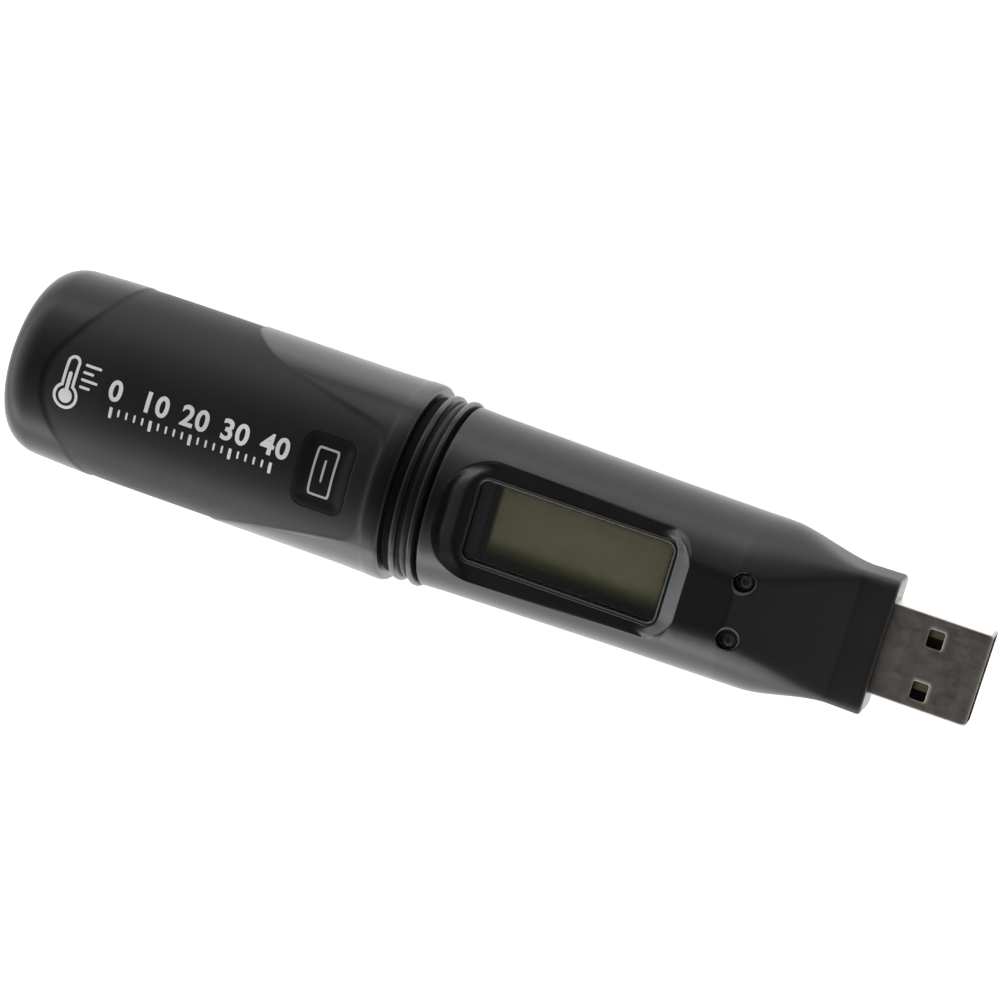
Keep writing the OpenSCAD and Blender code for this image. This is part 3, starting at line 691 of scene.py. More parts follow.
def neck_profile():
    """Profile of the neck, its two O-ring grooves and the round shoulder, as (along, radius)."""
    profile = [(NECK_END, NECK_R - 0.4), (NECK_END + 0.2, NECK_R - 0.13), (NECK_END + 0.5, NECK_R)]
    soft = 0.08
    for middle in GROOVES:
        a, b = middle - GROOVE_HALF, middle + GROOVE_HALF
        profile += [(a - soft, NECK_R), (a, NECK_R - soft), (a, GROOVE_R + soft),
                    (a + soft, GROOVE_R), (b - soft, GROOVE_R), (b, GROOVE_R + soft),
                    (b, NECK_R - soft), (b + soft, NECK_R)]
    profile += [(SHOULDER - 0.1, NECK_R), (SHOULDER, NECK_R + 0.1)]
    turn = 0.25
    return profile + [(SHOULDER + turn * (1 - math.cos(angle)),
                       tube_radius(SHOULDER) - turn + turn * math.sin(angle))
                      for angle in np.radians([0, 20, 45, 70, 90])]


def housing_skin(edge):
    """The closed outer skin: neck, tube, dish, facet and flange, with a pit at each opening."""
    skin = Skin()
    neck = [skin.ring(x, radius) for x, radius in neck_profile()]
    # tube, facet and flange, which ends in a rounded edge
    straight = FLANGE_END - FLANGE_BEVEL
    places = [*steps(SHOULDER + 0.6, 29.2, 0.36), *steps(29.5, SLOPE[1], 0.3),
              *steps(SLOPE[1] + 0.3, straight, 0.4)]
    insets = [0.0] * len(places)
    for angle in np.radians([20, 40, 60, 75, 90]):
        places.append(straight + FLANGE_BEVEL * math.sin(angle))
        insets.append(FLANGE_BEVEL * (1 - math.cos(angle)))
    grid = [skin.ring(x, section_radius(np.full(AROUND, x), TURNS, inset))
            for x, inset in zip(places, insets)]
    dish_hole = (nearest(places, -4.5), nearest(places, 29.2), -50, 50)
    light_holes = [(nearest(places, 32.6), nearest(places, 38.0), low, low + 29)
                   for low in (7, -36)]
    skin.bridge(*neck, grid[0])
    skin.quilt(grid, [dish_hole] + light_holes)
    # end face and the pit of the plug
    floor, half_w, half_h = PLUG_PIT
    s, c = np.abs(np.sin(TURNS)), np.abs(np.cos(TURNS))
    hole = np.minimum(half_w / np.maximum(s, 1e-6), half_h / np.maximum(c, 1e-6))
    rim = np.hypot(*np.array([skin.points[i][1:] for i in grid[-1]]).T)
    face = [skin.ring(FLANGE_END, rim + (hole - rim) * share) for share in (0.3, 0.7, 1.0)]
    face.append(skin.ring(floor, hole))
    skin.bridge(grid[-1], *face)
    skin.cap(face[-1])
    skin.cap(neck[0])

    # dish, rim and window
    p = Patch(skin, grid, dish_hole)
    top, wall, foot, rim = dish_rows(p)
    for flat in p.towards(top[:, :2], (0.4, 0.75, 0.92)):
        skin.lay(flat, skin_height(*flat.T))
    outside = np.c_[flat, skin_height(*flat.T)]
    turns = bend(outside, top, wall, 1.5 * edge) + bend(top, wall, foot, 2 * edge)
    turns += [(wall + foot) / 2] + bend(wall, foot, rim, 1.5 * edge)
    for row in turns + [rim]:
        skin.lay(row[:, :2], row[:, 2])
    for inset, height in RIM_STEPS:
        level = DISH_FLOOR + height
        skin.lay(p.box(*grown(RIM_OUTER, -inset)),
                 np.maximum(level, rim[:, 2]) if inset < 0.4 else level)
    skin.cap(skin.last)

    # countersunk holes of the two lights
    fall = (CROWN - FLANGE_H) / (SLOPE[1] - SLOPE[0])
    for hole, side in zip(light_holes, (1, -1)):
        p = Patch(skin, grid, hole)
        centre = LIGHT[0], side * LIGHT[1]
        for flat in p.towards(p.ring(*centre, LIGHT_HOLE + SINK + 0.15), (0.35, 0.7, 1.0)):
            skin.lay(flat, skin_height(*flat.T))
        for radius in (1.72, 1.66, 1.6, 1.52, 1.44, 1.36, 1.29, LIGHT_HOLE):
            flat = p.ring(*centre, radius)
            cone = CROWN - (flat[:, 0] - SLOPE[0]) * fall + radius - LIGHT_HOLE - SINK
            lip = 0.05 if radius == LIGHT_HOLE else 0
            skin.lay(flat, soft_min(skin_height(*flat.T), cone, 0.12) - lip)
        for height in (8.6, 6.9):
            skin.lay(flat, height)
        skin.cap(skin.last)
    return skin


def housing_cutters():
    """The hollow inside the housing, in three cuts that open the pits into it."""
    radius, roof = 8.9, 7.0
    reach = math.sqrt(radius ** 2 - roof ** 2)
    low = [p for p in round_outline(radius, 113) if p[1] < roof]
    roofed = [(reach, roof)] + low + [(-reach, roof)]
    return [bar(round_outline(9.0, 121), NECK_END - 1, -4.2), bar(roofed, -4.3, 38.0),
            bar(box_outline(7.2, -2.9, 2.9), 37.9, 46.5)]


# ---------------------------------------------------------------- shape of the sleeve
SLEEVE_MOUTH, BORE_R, END_CORNER, END_LENGTH, END_R = -5.8, 10.9, 3.2, 4.3, 12.7
SLEEVE_TUBE, PANEL_R = (-60.3, -12.8), 13.0
# the joint's grooves turn dull below this radius, over this width
DULL_R, DULL_FADE = 11.9, 0.3
BUTTON = (-22.5, -15.5, 4.8, 1.5)
BUTTON_GAP = 0.03
# round the label panel: its round end, half of its edge, and the rounds of its two corners
PANEL_ROUND = (-48.4, 10.0)
PANEL_EDGE = [(-57.06, 5.0), (-52.4, 13.1), (-36.0, 13.1), (-31.5, 11.4), (-28.0, 10.47),
              (-15.47, 7.94), (-12.9, 4.8)]
PANEL_CORNER = (-16.1, 4.8, 3.2)
GRIP = (-52.4, -36.0, 8.0, 5.0)


def sleeve_radius(x):
    return np.interp(x, [SLEEVE_END + END_LENGTH, -56, -50, -40, -17, -12.7],
                     [END_R, 12.88, 13.03, 13.04, 12.97, 13.07])


def sleeve_profile():
    """Outer profile of the closed end, and of the joint and the mouth, as (along, radius)."""
    end = [(SLEEVE_END, r) for r in (3.0, 6.0, 8.5)]
    end += [(SLEEVE_END + END_LENGTH * (1 - math.cos(t)),
             END_R - END_CORNER + END_CORNER * math.sin(t))
            for t in np.radians(np.linspace(0, 84, 13))]
    joint = [(-12.65, 13.08), (-12.5, 13.105), (-12.35, 13.127), (-12.2, 13.143), (-12.0, 13.15),
             (-11.2, 13.15), (-10.9, 13.13), (-10.6, 13.07), (-10.4, 12.97), (-10.28, 12.82),
             (-10.22, 12.6), (-10.16, 11.9), (-10.08, 11.48), (-9.9, 11.35), (-9.5, 11.35),
             (-9.3, 11.44), (-9.14, 11.75), (-9.03, 12.12), (-8.9, 12.31), (-8.7, 12.38),
             (-8.32, 12.38), (-8.2, 12.3), (-8.12, 12.05), (-8.02, 11.78), (-7.9, 11.66),
             (-7.76, 11.7), (-7.55, 11.8), (-7.3, 11.83), (-7.1, 11.76), (-6.92, 11.64),
             (-6.78, 11.62), (-6.66, 11.76), (-6.56, 12.1), (-6.46, 12.31), (-6.3, 12.38),
             (-5.98, 12.37), (-5.86, 12.33), (SLEEVE_MOUTH, 12.2), (SLEEVE_MOUTH, 11.5),
             (SLEEVE_MOUTH, BORE_R + 0.15), (SLEEVE_MOUTH - 0.15, BORE_R)]
    return end, joint


def polygon_gap(x, y, corners):
    """Distance outside a convex or slightly bent polygon; less than 0 inside it."""
    best = np.full_like(x, 1e9)
    inside = np.zeros(x.shape, bool)
    for (ax, ay), (bx, by) in zip(corners, corners[1:] + corners[:1]):
        ex, ey = bx - ax, by - ay
        t = np.clip(((x - ax) * ex + (y - ay) * ey) / (ex * ex + ey * ey), 0, 1)
        best = np.minimum(best, np.hypot(x - ax - t * ex, y - ay - t * ey))
        cross = ((ay > y) != (by > y)) & (x < (bx - ax) * (y - ay) / (by - ay + 1e-12) + ax)
        inside ^= cross
    return np.where(inside, -best, best)


def panel_gap(x, phi):
    """Distance outside the sunken label panel and grips; less than 0 inside them."""
    y, z = PANEL_R * np.sin(phi), PANEL_R * np.cos(phi)
    # across the tube, lengths are measured on the curved skin and not in plan
    steep = np.clip(np.abs(np.cos(phi)), 0.25, 1)
    corners = PANEL_EDGE + [(a, -b) for a, b in reversed(PANEL_EDGE)]
    plan = polygon_gap(x, y, corners)
    plan = np.minimum(plan, np.hypot(x - PANEL_ROUND[0], y) - PANEL_ROUND[1])
    at, off, radius = PANEL_CORNER
    for side in (-1, 1):
        plan = np.minimum(plan, np.hypot(x - at, y - side * off) - radius)
    plan = np.where(plan > -1, plan / np.where(np.abs(y) > 8, np.sqrt(steep), 1), plan)
    return np.where(z > 0, plan, outline_gap(x, z, *GRIP))


def panel_share(x, phi, width):
    """From 0 outside the sunken panel to 1 in it, by way of a soft step."""
    return smooth_step(0.5 - panel_gap(x + 0 * phi, phi) / width)


def panel_height(x, y, depth):
    """Height of the sunken panel over a place seen from above."""
    return np.sqrt((sleeve_radius(x) - depth) ** 2 - y ** 2)


def sleeve_skin(depth, width):
    """The closed outer skin of the sleeve, flat below, with a pit at the button."""
    skin = Skin()
    down = -np.cos(TURNS)
    flat_below = np.where(down > 0.5, AXIS_HEIGHT / MM / np.maximum(down, 0.5), 99)

    def ring(x, radius):
        return skin.ring(x, soft_min(radius, flat_below, 0.08))

    end, joint = sleeve_profile()
    end = [ring(x, r) for x, r in end]
    places = steps(*SLEEVE_TUBE, 0.25)
    grid = [ring(x, sleeve_radius(x) - depth * panel_share(x, TURNS, width)) for x in places]
    joint = [ring(x, r) for x, r in joint]
    hole = (nearest(places, -24.2), nearest(places, -13.9), -28, 28)
    skin.bridge(*end, grid[0])
    skin.quilt(grid, [hole])
    skin.bridge(grid[-1], *joint)
    skin.cap(end[0])
    skin.cap(joint[-1])

    # opening of the button, with a soft edge
    p = Patch(skin, grid, hole)
    opening = grown(BUTTON, BUTTON_GAP)
    for flat in p.towards(p.box(*grown(opening, 0.5)), (0.4, 0.75)):
        skin.lay(flat, panel_height(*flat.T, depth))
    for offset, drop in ((0.5, 0.0), (0.3, 0.0), (0.14, 0.005), (0.07, 0.02), (0.03, 0.045),
                         (0.01, 0.08), (0.0, 0.12), (0.0, 0.5)):
        flat = p.box(*grown(opening, offset))
        skin.lay(flat, panel_height(*flat.T, depth) - drop)
    skin.lay(p.box(*opening), 9.2)
    skin.cap(skin.last)
    return skin


# ---------------------------------------------------------------- shape of the button
PAD_R, PAD_BOTTOM, STEM_R, STEM_END = 12.81, 11.02, 1.5, 7.87
PAD_DISH = (0.05, 1.7)


def pad_height(x, y, depth):
    """Height of the dished pad over a place seen from above."""
    inside = -outline_gap(x, y, *BUTTON)
    edge = 0.06
    drop = edge - np.sqrt(np.clip(edge ** 2 - np.clip(edge - inside, 0, edge) ** 2, 0, None))
    sunk = depth * smooth_step((inside - PAD_DISH[0]) / (PAD_DISH[1] - PAD_DISH[0]))
    return np.sqrt(PAD_R ** 2 - y ** 2) - drop - sunk


def button_skin(depth):
    """The closed skin of the pad and the stem under it."""
    skin = Skin()
    loop = Loop(48)
    outline = loop.box(*BUTTON)
    middle = np.array([(BUTTON[0] + BUTTON[1]) / 2, 0])
    stem = loop.ring(*middle, STEM_R)
    bottom = skin.lay(stem, STEM_END)
    skin.lay(stem, PAD_BOTTOM)
    skin.lay(outline, PAD_BOTTOM)
    skin.lay(outline, pad_height(*outline.T, depth) - 0.02)
    for share in (*(1 - np.linspace(0.004, 0.06, 8)), *np.linspace(0.92, 0.06, 26)):
        flat = middle + (outline - middle) * share
        skin.lay(flat, pad_height(*flat.T, depth))
    skin.cap(bottom)
    skin.cap(skin.last)
    return skin


# ---------------------------------------------------------------- printed marks
def rounded(x0, x1, y0, y1, corner, per_side=8):
    """A closed loop of (along, across) points with rounded corners."""
    middle, half = (y0 + y1) / 2, (y1 - y0) / 2
    return Loop(per_side).box(x0, x1, half, corner, middle)


def keyhole(x, y, bulb, stem, top):
    """Outline of a bulb with a round-ended stem above it."""
    count = 40
    open_angle = math.asin(stem / bulb)
    points = [(x + bulb * math.sin(a), y + bulb * math.cos(a))
              for a in np.linspace(open_angle, 2 * math.pi - open_angle, count)]
    points += [(x - stem * math.cos(a), top - stem + stem * math.sin(a))
               for a in np.linspace(0, math.pi, count // 2)]
    return np.array(points)


def ink(name, loops, numbers, surface, thickness, body, slot, step=0.4, colour="print_ink"):
    """Thin closed ink shapes laid on a surface: loops are filled, and a loop in a loop is open."""
    outline = bpy.data.curves.new(name, "CURVE")
    outline.dimensions, outline.fill_mode, outline.extrude = "2D", "BOTH", thickness / 2
    for points in loops:
        spline = outline.splines.new("POLY")
        spline.points.add(len(points) - 1)
        for point, (x, y) in zip(spline.points, points):
            point.co = (x, y, 0, 1)
        spline.use_cyclic_u = True
    drawn = [(outline, (0, 0))]
    for words, x, y, size in numbers:
        text = bpy.data.curves.new(name, "FONT")
        text.body, text.size, text.offset, text.extrude = words, size, 0.028 * size, thickness / 2
        text.align_x, text.space_character = "CENTER", 1.1
        drawn.append((text, (x, y)))
    work = bmesh.new()
    for curve, (x, y) in drawn:
        holder = put(name, curve)
        graph = bpy.context.evaluated_depsgraph_get()
        flat = bpy.data.meshes.new_from_object(holder.evaluated_get(graph))
        flat.transform(Matrix.Translation((x, y, 0)))
        work.from_mesh(flat)
        bpy.data.objects.remove(holder)
    bmesh.ops.remove_doubles(work, verts=work.verts, dist=1e-4)
    bmesh.ops.dissolve_degenerate(work, edges=work.edges, dist=1e-4)
    for axis, normal in ((0, (1, 0, 0)), (1, (0, 1, 0))):
        reach = [v.co[axis] for v in work.verts]
        for at in np.arange(min(reach) + step, max(reach), step):
            point = [0, 0, 0]
            point[axis] = at
            bmesh.ops.bisect_plane(work, geom=work.verts[:] + work.edges[:] + work.faces[:],
                                   plane_co=point, plane_no=normal, dist=1e-5)
    for v in work.verts:
        x, y = np.array([v.co.x]), np.array([v.co.y])
        v.co.z += float(surface(x, y)[0]) + thickness * 0.3
    bmesh.ops.recalc_face_normals(work, faces=work.faces)
    mesh = bpy.data.meshes.new(name)
    work.to_mesh(mesh)
    work.free()
    mesh.transform(Matrix.Translation(MARK) @ Matrix.Scale(MM, 4))
    return add_piece(name, mesh, body, slot, material=finish(colour))


def scale_marks():
    """A thermometer sign, and a plain scale of numbers and ticks, for the sleeve's panel."""
    x, y = -54.9, -1.35
    loops = [keyhole(x, y, 1.75, 0.95, 4.0), keyhole(x, y, 1.35, 0.55, 3.6),
             keyhole(x, y, 0.95, 0.26, 1.9)]
    for k in range(4):
        low = 3.1 - 0.95 * k
        loops.append(rounded(x + 1.6, x + 3.9 - 0.8 * (k % 2), low, low + 0.35, 0.1))
    numbers = []
    start, gap = -48.33, 1.12
    for k in range(21):
        at, major = start + gap * k, k % 5 == 0
        half, low = (0.22, -2.2) if major else (0.14, -1.75)
        loops.append(rounded(at - half, at + half, low, -0.75, 0.08, 3))
        if major:
            numbers.append((str(k * 2), at, 0.15, 3.68))
    return loops, numbers


def button_marks():
    x0, x1, y0, y1, line = -20.65, -17.6, -3.1, 3.3, 0.29
    middle = (x0 + x1) / 2
    return [rounded(x0, x1, y0, y1, 0.4),
            rounded(x0 + line, x1 - line, y0 + line, y1 - line, 0.2),
            rounded(middle - 0.15, middle + 0.15, -1.15, 1.75, 0.1, 4)]


# ---------------------------------------------------------------- shape of the plug shell
PLUG_W, PLUG_H, PLUG_CORNER = 6.0, 2.25, 0.32
PLUG_START, SHELL_T = 48.0, 0.3
PLUG_WINDOW, WINDOW_OFF = (57.85, 59.85, 1.15, 0.3), 3.4
# how far to one side the two upper windows sit, as in the photograph
PLUG_LEAN = -0.22
SEAM = 0.07


def plug_skin():
    """The closed outer skin of the plug, with a coined pit at each window and a seam below."""
    skin = Skin()
    across, turn_count, tall = 81, 8, 12
    first_below = across + tall + 2 * (turn_count - 2)

    def ring(x, inset=0.0):
        w, h, r = PLUG_W - inset - PLUG_CORNER, PLUG_H - inset - PLUG_CORNER, PLUG_CORNER
        points = []
        for turn, (u, v, count) in enumerate(((w, h, across), (h, w, tall)) * 2):
            side = [(t, v + r) for t in np.linspace(-u, u, count)]
            side += [(u + r * math.sin(a), v + r * math.cos(a))
                     for a in np.linspace(0, math.pi / 2, turn_count)[1:-1]]
            for a, b in side:
                points.append([(a, b), (b, -a), (-a, -b), (-b, a)][turn])
        points = np.array(points)
        points[first_below + across // 2, 1] += SEAM
        return skin.row(np.c_[np.full(len(points), x), points])

    places = [*steps(PLUG_START, 56.9, 0.8), *steps(57.1, 60.7, 0.2), *steps(61.4, 64.85, 0.8)]
    grid = [ring(x) for x in places]
    grid += [ring(PLUG_TIP - back, inset) for back, inset in (
        (0.62, 0.006), (0.5, 0.02), (0.38, 0.045), (0.27, 0.075), (0.17, 0.11), (0.08, 0.155),
        (0.02, 0.2), (0, 0.23))]
    spacing = 2 * (PLUG_W - PLUG_CORNER) / (across - 1)
    holes = {}
    for up, shift in ((1, 0), (-1, first_below)):
        for side in (-1, 1):
            centre = side * WINDOW_OFF + (PLUG_LEAN if up > 0 else 0)
            middle = (across - 1) / 2 + up * centre / spacing
            holes[up, centre] = (nearest(places, 57.1), nearest(places, 60.7),
                                 int(round(middle - 1.75 / spacing)) + shift,
                                 int(round(middle + 1.75 / spacing)) + shift)
    skin.quilt(grid, holes.values())
    skin.cap(grid[0])
    skin.cap(grid[-1])
    for (up, centre), hole in holes.items():
        p = Patch(skin, grid, hole)
        for offset, drop in ((0.55, 0), (0.44, 0.006), (0.32, 0.024), (0.2, 0.05), (0.09, 0.08),
                             (0.02, 0.12), (0, 0.2), (0, 0.8)):
            flat = p.box(*grown(PLUG_WINDOW, offset))
            flat[:, 1] = centre + up * flat[:, 1]
            skin.lay(flat, up * (PLUG_H - drop))
        skin.cap(skin.last)
    return skin


# ---------------------------------------------------------------- shape of the battery spring
SPRING = {"turns": 3, "wide": 4.6, "narrow": 2.2, "wire": 0.6, "height": -1.5}


def tube(path, radius):
    """A round tube along a path, closed at both ends."""
    sides = 14
    skin = Skin()
    path = [Vector(p) for p in path]
    up, last = Vector((1, 0, 0)), None
    for k, at in enumerate(path):
        along = (path[min(k + 1, len(path) - 1)] - path[max(k - 1, 0)]).normalized()
        side = along.cross(up).normalized()
        other = side.cross(along)
        ring = [at + radius * (side * math.cos(a) + other * math.sin(a))
                for a in np.linspace(0, 2 * math.pi, sides, endpoint=False)]
        row = skin.row(ring)
        if last:
            skin.bridge(last, row)
        else:
            skin.cap(row)
        last = row
    skin.cap(last)
    return skin


# ---------------------------------------------------------------- operators
def sizes(context):
    return context.scene.logger_sizes


def colours(context):
    return context.scene.logger_colours


def mm(length):
    """A setting's length in millimetres."""
    return length / MM


def finish(slot):
    """The material that the finishes operator made for a slot."""
    material = bpy.data.materials.get(slot + "_finish")
    if material is None:
        raise RuntimeError(f"the finish for {slot} isn't made yet")
    return material


# the finish's name, colour, roughness, span of roughness, and size and depth of the grain
INNER_MOULDED = (
    ("inner_plastic", (0.66, 0.66, 0.62), 0.5, 0.06, 3.0, 0.01),
    ("strip_rubber", (0.4, 0.17, 0.15), 0.6, 0.06, 3.0, 0.01),
    ("board_laminate", (0.016, 0.13, 0.055), 0.35, 0.07, 2.0, 0.01),
    ("chip_resin", (0.02, 0.02, 0.021), 0.5, 0.06, 5.0, 0.01),
    ("capacitor_ceramic", (0.36, 0.27, 0.15), 0.55, 0.06, 5.0, 0.01),
    ("light_resin", (0.7, 0.66, 0.5), 0.3, 0.06, 4.0, 0.005),
    ("bead_resin", (0.025, 0.03, 0.1), 0.2, 0.05, 2.0, 0.01),
    ("carrier_plastic", (0.045, 0.045, 0.047), 0.42, 0.06, 4.0, 0.01),
    ("plug_insulator", (0.018, 0.018, 0.017), 0.45, 0.06, 4.0, 0.01),
    ("battery_film", (0.09, 0.2, 0.36), 0.22, 0.05, 1.5, 0.01),
)
# the finish's name, colour, roughness, span of roughness, and stretch and depth of the scratches
INNER_METALS = (
    ("bright_metal", (0.62, 0.62, 0.63), 0.2, 0.06, (3.0, 0.4, 3.0), 0.003),
    ("reflector_foil", (0.55, 0.55, 0.52), 0.35, 0.08, (2.0, 2.0, 2.0), 0.004),
    ("battery_metal", (0.6, 0.6, 0.6), 0.22, 0.06, (0.3, 3.0, 3.0), 0.003),
    ("contact_metal", (0.6, 0.57, 0.5), 0.24, 0.06, (1.0, 1.0, 3.0), 0.003),
    ("gold_contact", (0.5, 0.43, 0.25), 0.3, 0.06, (0.4, 3.0, 3.0), 0.002),
)


class LOGGER_OT_finishes(bpy.types.Operator):
    """Make the materials that the pieces share"""

    bl_idname = "logger.finishes"
    bl_label = "Finishes"

    def execute(self, context):
        c = colours(context)
        plastic, rubber = tuple(c.plastic), tuple(c.rubber)
        sleeve_material(tuple(1.45 * part for part in plastic))
        housing_material(plastic)
        moulded("button_rubber", rubber, 0.58, 0.05, 4.0, 0.012, 0.16)
        moulded("seal_rubber", rubber, 0.45, 0.06, 3.0, 0.01, 0.4)
        moulded("print_ink", tuple(c.ink), 0.5, 0.06, 5.0, 0.004)
        moulded("button_ink", tuple(0.6 * part for part in c.ink), 0.5, 0.06, 5.0, 0.004)
        for row in INNER_MOULDED:
            moulded(*row)
        display_material(tuple(c.display))
        clear("clear_window", (0.97, 0.98, 0.96), 0.03)
        clear("light_pipe", (0.62, 0.64, 0.6), 0.06)
        # the plug's steel gets a painted highlight, a lighter colour on its sides
        metal("plug_steel", tuple(c.steel), 0.34, 0.07, (0.2, 3.0, 3.0), 0.004, 1.5,
              (PLUG_W * MM, (0.8, 0.77, 0.73)))
        for row in INNER_METALS:
            metal(*row)
        return {"FINISHED"}


class LOGGER_OT_housing(bpy.types.Operator):
    """Build the main housing with its neck, sunken window, facet and plug flange"""

    bl_idname = "logger.housing"
    bl_label = "Main housing"

    def execute(self, context):
        skin = housing_skin(mm(sizes(context).edge_round))
        mesh = cut(skin.mesh("housing_shell"), housing_cutters())
        add_piece("housing_shell", mesh, "core", "housing_plastic", ["main_housing"])
        return {"FINISHED"}


class LOGGER_OT_sleeve(bpy.types.Operator):
    """Build the battery sleeve with its sunken panel, grips, ribs and button opening"""

    bl_idname = "logger.sleeve"
    bl_label = "Battery sleeve"

    def execute(self, context):
        s = sizes(context)
        skin = sleeve_skin(mm(s.panel_depth), mm(s.panel_edge))
        hollow = bar(round_outline(BORE_R, 180), SLEEVE_END + 2.0, SLEEVE_MOUTH + 1)
        mesh = cut(skin.mesh("sleeve_shell"), [hollow])
        x, y, z = ((np.array([v.co for v in mesh.vertices]) - np.array(MARK)) / MM).T
        share = panel_share(x, np.arctan2(y, z), mm(s.panel_edge))
        satin = mesh.attributes.new("satin", "FLOAT", "POINT")
        groove = 2 * np.clip((DULL_R - np.hypot(y, z)) / DULL_FADE, 0, 1)
        satin.data.foreach_set(
            "value", np.where(x < SLEEVE_TUBE[1], share, groove).astype(np.float32))
        add_piece("sleeve_shell", mesh, "sleeve", "sleeve_plastic", ["battery_sleeve"])
        return {"FINISHED"}


class LOGGER_OT_button(bpy.types.Operator):
    """Build the dished push button and the mark printed on it"""

    bl_idname = "logger.button"
    bl_label = "Push button"

    def execute(self, context):
        s = sizes(context)
        depth = mm(s.button_dish)
        add_piece("button_pad_soft", button_skin(depth).mesh("button_pad_soft"), "button",
                  "button_rubber", ["button_pad"])
        ink("button_mark", button_marks(), [], lambda x, y: pad_height(x, y, depth),
            mm(s.print_height), "button", "button_rubber", 0.3, "button_ink")
        return {"FINISHED"}


class LOGGER_OT_scale(bpy.types.Operator):
    """Print a thermometer sign and a plain scale on the sleeve's panel"""

    bl_idname = "logger.scale"
    bl_label = "Printed scale"

    def execute(self, context):
        s = sizes(context)
        loops, numbers = scale_marks()
        sunk = mm(s.panel_depth)
        ink("sleeve_scale", loops, numbers, lambda x, y: panel_height(x, y, sunk),
            mm(s.print_height), "sleeve", "sleeve_plastic")
        return {"FINISHED"}


class LOGGER_OT_plug(bpy.types.Operator):
    """Build the plug's folded steel shell with its coined windows"""

    bl_idname = "logger.plug"
    bl_label = "Plug shell"

    def execute(self, context):
        inner_w, inner_h = PLUG_W - SHELL_T, PLUG_H - SHELL_T
        hollow = bar(box_outline(inner_w, -inner_h, inner_h), PLUG_START - 1, PLUG_TIP + 1)
        mesh = cut(plug_skin().mesh("plug_shell"), [hollow])
        add_piece("plug_shell", mesh, "core", "plug_steel", ["usb_shell"])
        return {"FINISHED"}


class LOGGER_OT_spring(bpy.types.Operator):
    """Wind the battery's coil spring"""

    bl_idname = "logger.spring"
    bl_label = "Battery spring"

    def execute(self, context):
        low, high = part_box("battery_spring")
        start = (low.x - MARK.x) / MM + SPRING["wire"] / 2
        end = (high.x - MARK.x) / MM - SPRING["wire"] / 2
        path = []
        for u in np.linspace(0, 1, 48 * SPRING["turns"] + 1):
            turn = 2 * math.pi * SPRING["turns"] * u
            r = SPRING["wide"] + (SPRING["narrow"] - SPRING["wide"]) * u
            path.append((start + (end - start) * u, r * math.cos(turn),
                         SPRING["height"] + r * math.sin(turn)))
        mesh = tube(path, SPRING["wire"] / 2).mesh("battery_coil")
        add_piece("battery_coil", mesh, "core", "contact_metal", ["battery_spring"], 60)
        return {"FINISHED"}


class LOGGER_OT_materials(bpy.types.Operator):
    """Give each CAD piece its finish"""

    bl_idname = "logger.dress"
    bl_label = "Inner pieces"

    def execute(self, context):
        slots = {part["node"]: part["material_slot"] for part in frame["record"]["subparts"]}
        for name, piece in frame["nodes"].items():
            material = finish(slots[name])
            for slot in piece.material_slots:
                slot.material = material
            if not piece.material_slots:
                piece.data.materials.append(material)
        return {"FINISHED"}


# From the least-squares fit of a pinhole camera to the photograph: the turns from the logger to
# the camera in degrees, where the camera's axis passes the mark in millimetres, with the turn
# of those lengths, and the focal length in widths of the picture.
CAMERA_TURNS = ((-19.01, "Z"), (-13.2, "Y"), (12.15, "X"))
CAMERA_SHIFT, SHIFT_TURN = (-0.69, -1.49), -18.6
FOCAL_LENGTH, SENSOR = 3.1361, 36
# how much brighter, or darker below 0, the surroundings are to one side: axis, its sign, the
# power of the fall and the gain
SIDE_LIGHT = (("X", 1, 2.0, -0.75), ("X", -1, 1.0, 0.8), ("Y", 1, 1.0, -0.4), ("Y", -1, 1.0, -0.12))
SOFTBOXES = (("left_softbox", (0.0, 0.5, 0.11), (1.3, 0.2), 0.5),
             ("right_softbox", (0.0, -0.5, 0.1), (1.3, 0.18), 1.1))
FLOOR_REACH = 3


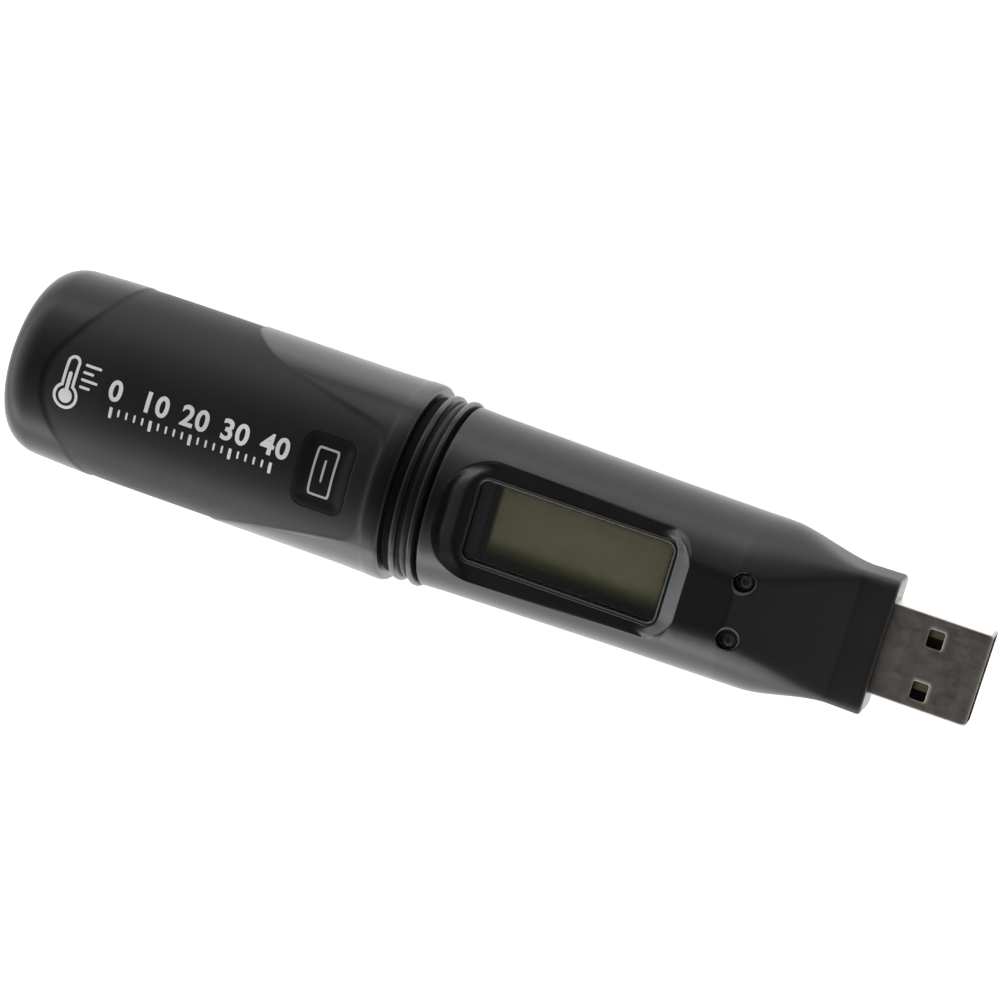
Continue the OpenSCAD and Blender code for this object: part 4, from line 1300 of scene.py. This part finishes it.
class LOGGER_OT_stage(bpy.types.Operator):
    """Set the pale floor, the studio lights and the camera"""

    bl_idname = "logger.stage"
    bl_label = "Stage"

    def execute(self, context):
        scene = context.scene
        floor = put("floor", bpy.data.meshes.new("floor"))
        r = FLOOR_REACH
        floor.data.from_pydata([(-r, -r, 0), (r, -r, 0), (r, r, 0), (-r, r, 0)], [],
                               [(0, 1, 2, 3)])
        floor_material()
        floor.data.materials.append(bpy.data.materials["pale_floor"])
        self.world(scene)
        self.lights()
        self.camera(context)
        scene.view_settings.view_transform = "Standard"
        return {"FINISHED"}

    def world(self, scene):
        world = bpy.data.worlds.new("studio")
        world.use_nodes = True
        tree = world.node_tree
        tree.nodes.clear()
        out = tree.nodes.new("ShaderNodeOutputWorld")
        split = axes(tree, "Generated")
        fall = math_node(tree, "POWER", spread(tree, split["Z"], 1.0, 0.0, 0.0, 1.0), 1.35)
        dome = math_node(tree, "MULTIPLY_ADD", fall, 2.2, 0.078)
        shade = 1.0
        for axis, sign, power, gain in SIDE_LIGHT:
            side = math_node(tree, "MULTIPLY", split[axis], sign)
            side = math_node(tree, "POWER", math_node(tree, "MAXIMUM", side, 0.0), power)
            shade = math_node(tree, "MULTIPLY_ADD", side, gain, shade)
        level = math_node(tree, "MULTIPLY", dome, shade)
        back = node(tree, "ShaderNodeBackground", {"Color": WHITE, "Strength": level})
        path = node(tree, "ShaderNodeLightPath")
        white = node(tree, "ShaderNodeBackground", {"Color": WHITE, "Strength": 1.0})
        mixed = node(tree, "ShaderNodeMixShader", {0: path.outputs["Is Camera Ray"],
                                                   1: back.outputs["Background"],
                                                   2: white.outputs["Background"]})
        tree.links.new(mixed.outputs["Shader"], out.inputs["Surface"])
        scene.world = world

    def lights(self):
        for name, at, size, power in SOFTBOXES:
            lamp = bpy.data.lights.new(name, "AREA")
            lamp.shape, lamp.size, lamp.size_y, lamp.energy = "RECTANGLE", *size, power
            holder = put(name, lamp)
            holder.location = at
            aim = Vector((0, 0, 0.01)) - Vector(at)
            holder.rotation_euler = aim.to_track_quat("-Z", "Y").to_euler()

    def camera(self, context):
        """The camera that a least-squares fit to the photograph gave."""
        distance = mm(sizes(context).camera_distance)
        turn = Matrix.Identity(3)
        for degrees, axis in CAMERA_TURNS:
            turn = turn @ Matrix.Rotation(math.radians(degrees), 3, axis)
        away = turn.transposed()
        shift = Matrix.Rotation(math.radians(SHIFT_TURN), 3, "Z") @ Vector((*CAMERA_SHIFT, 0))
        lens = bpy.data.cameras.new("camera")
        lens.sensor_width, lens.lens = SENSOR, FOCAL_LENGTH * SENSOR
        lens.clip_start, lens.clip_end = 0.01, 10
        camera = put("camera", lens)
        camera.rotation_mode = "QUATERNION"
        camera.rotation_quaternion = away.to_quaternion()
        camera.location = MARK + (away @ (Vector((0, 0, distance)) - shift)) * MM
        context.scene.camera = camera


class LOGGER_PT_panel(bpy.types.Panel):
    """The logger's pieces and settings"""

    bl_label = "Data Logger"
    bl_idname = "LOGGER_PT_panel"
    bl_space_type = "VIEW_3D"
    bl_region_type = "UI"
    bl_category = "Logger"

    def draw(self, context):
        for group in (sizes(context), colours(context)):
            box = self.layout.box()
            for key in group.bl_rna.properties.keys():
                if key not in ("rna_type", "name"):
                    box.prop(group, key)
        for operator in OPERATORS:
            self.layout.operator(operator.bl_idname)


OPERATORS = (LOGGER_OT_finishes, LOGGER_OT_materials, LOGGER_OT_housing, LOGGER_OT_sleeve,
             LOGGER_OT_button, LOGGER_OT_scale, LOGGER_OT_plug, LOGGER_OT_spring,
             LOGGER_OT_stage)
GROUPS = (LoggerSizes, LoggerColours)


def register():
    for item in GROUPS + OPERATORS + (LOGGER_PT_panel,):
        bpy.utils.register_class(item)
    bpy.types.Scene.logger_sizes = bpy.props.PointerProperty(type=LoggerSizes)
    bpy.types.Scene.logger_colours = bpy.props.PointerProperty(type=LoggerColours)


def unregister():
    del bpy.types.Scene.logger_sizes
    del bpy.types.Scene.logger_colours
    for item in reversed(GROUPS + OPERATORS + (LOGGER_PT_panel,)):
        bpy.utils.unregister_class(item)


def main():
    register()
    for operator in OPERATORS:
        family, action = operator.bl_idname.split(".")
        getattr(getattr(bpy.ops, family), action)()


if __name__ == "__main__":
    main()
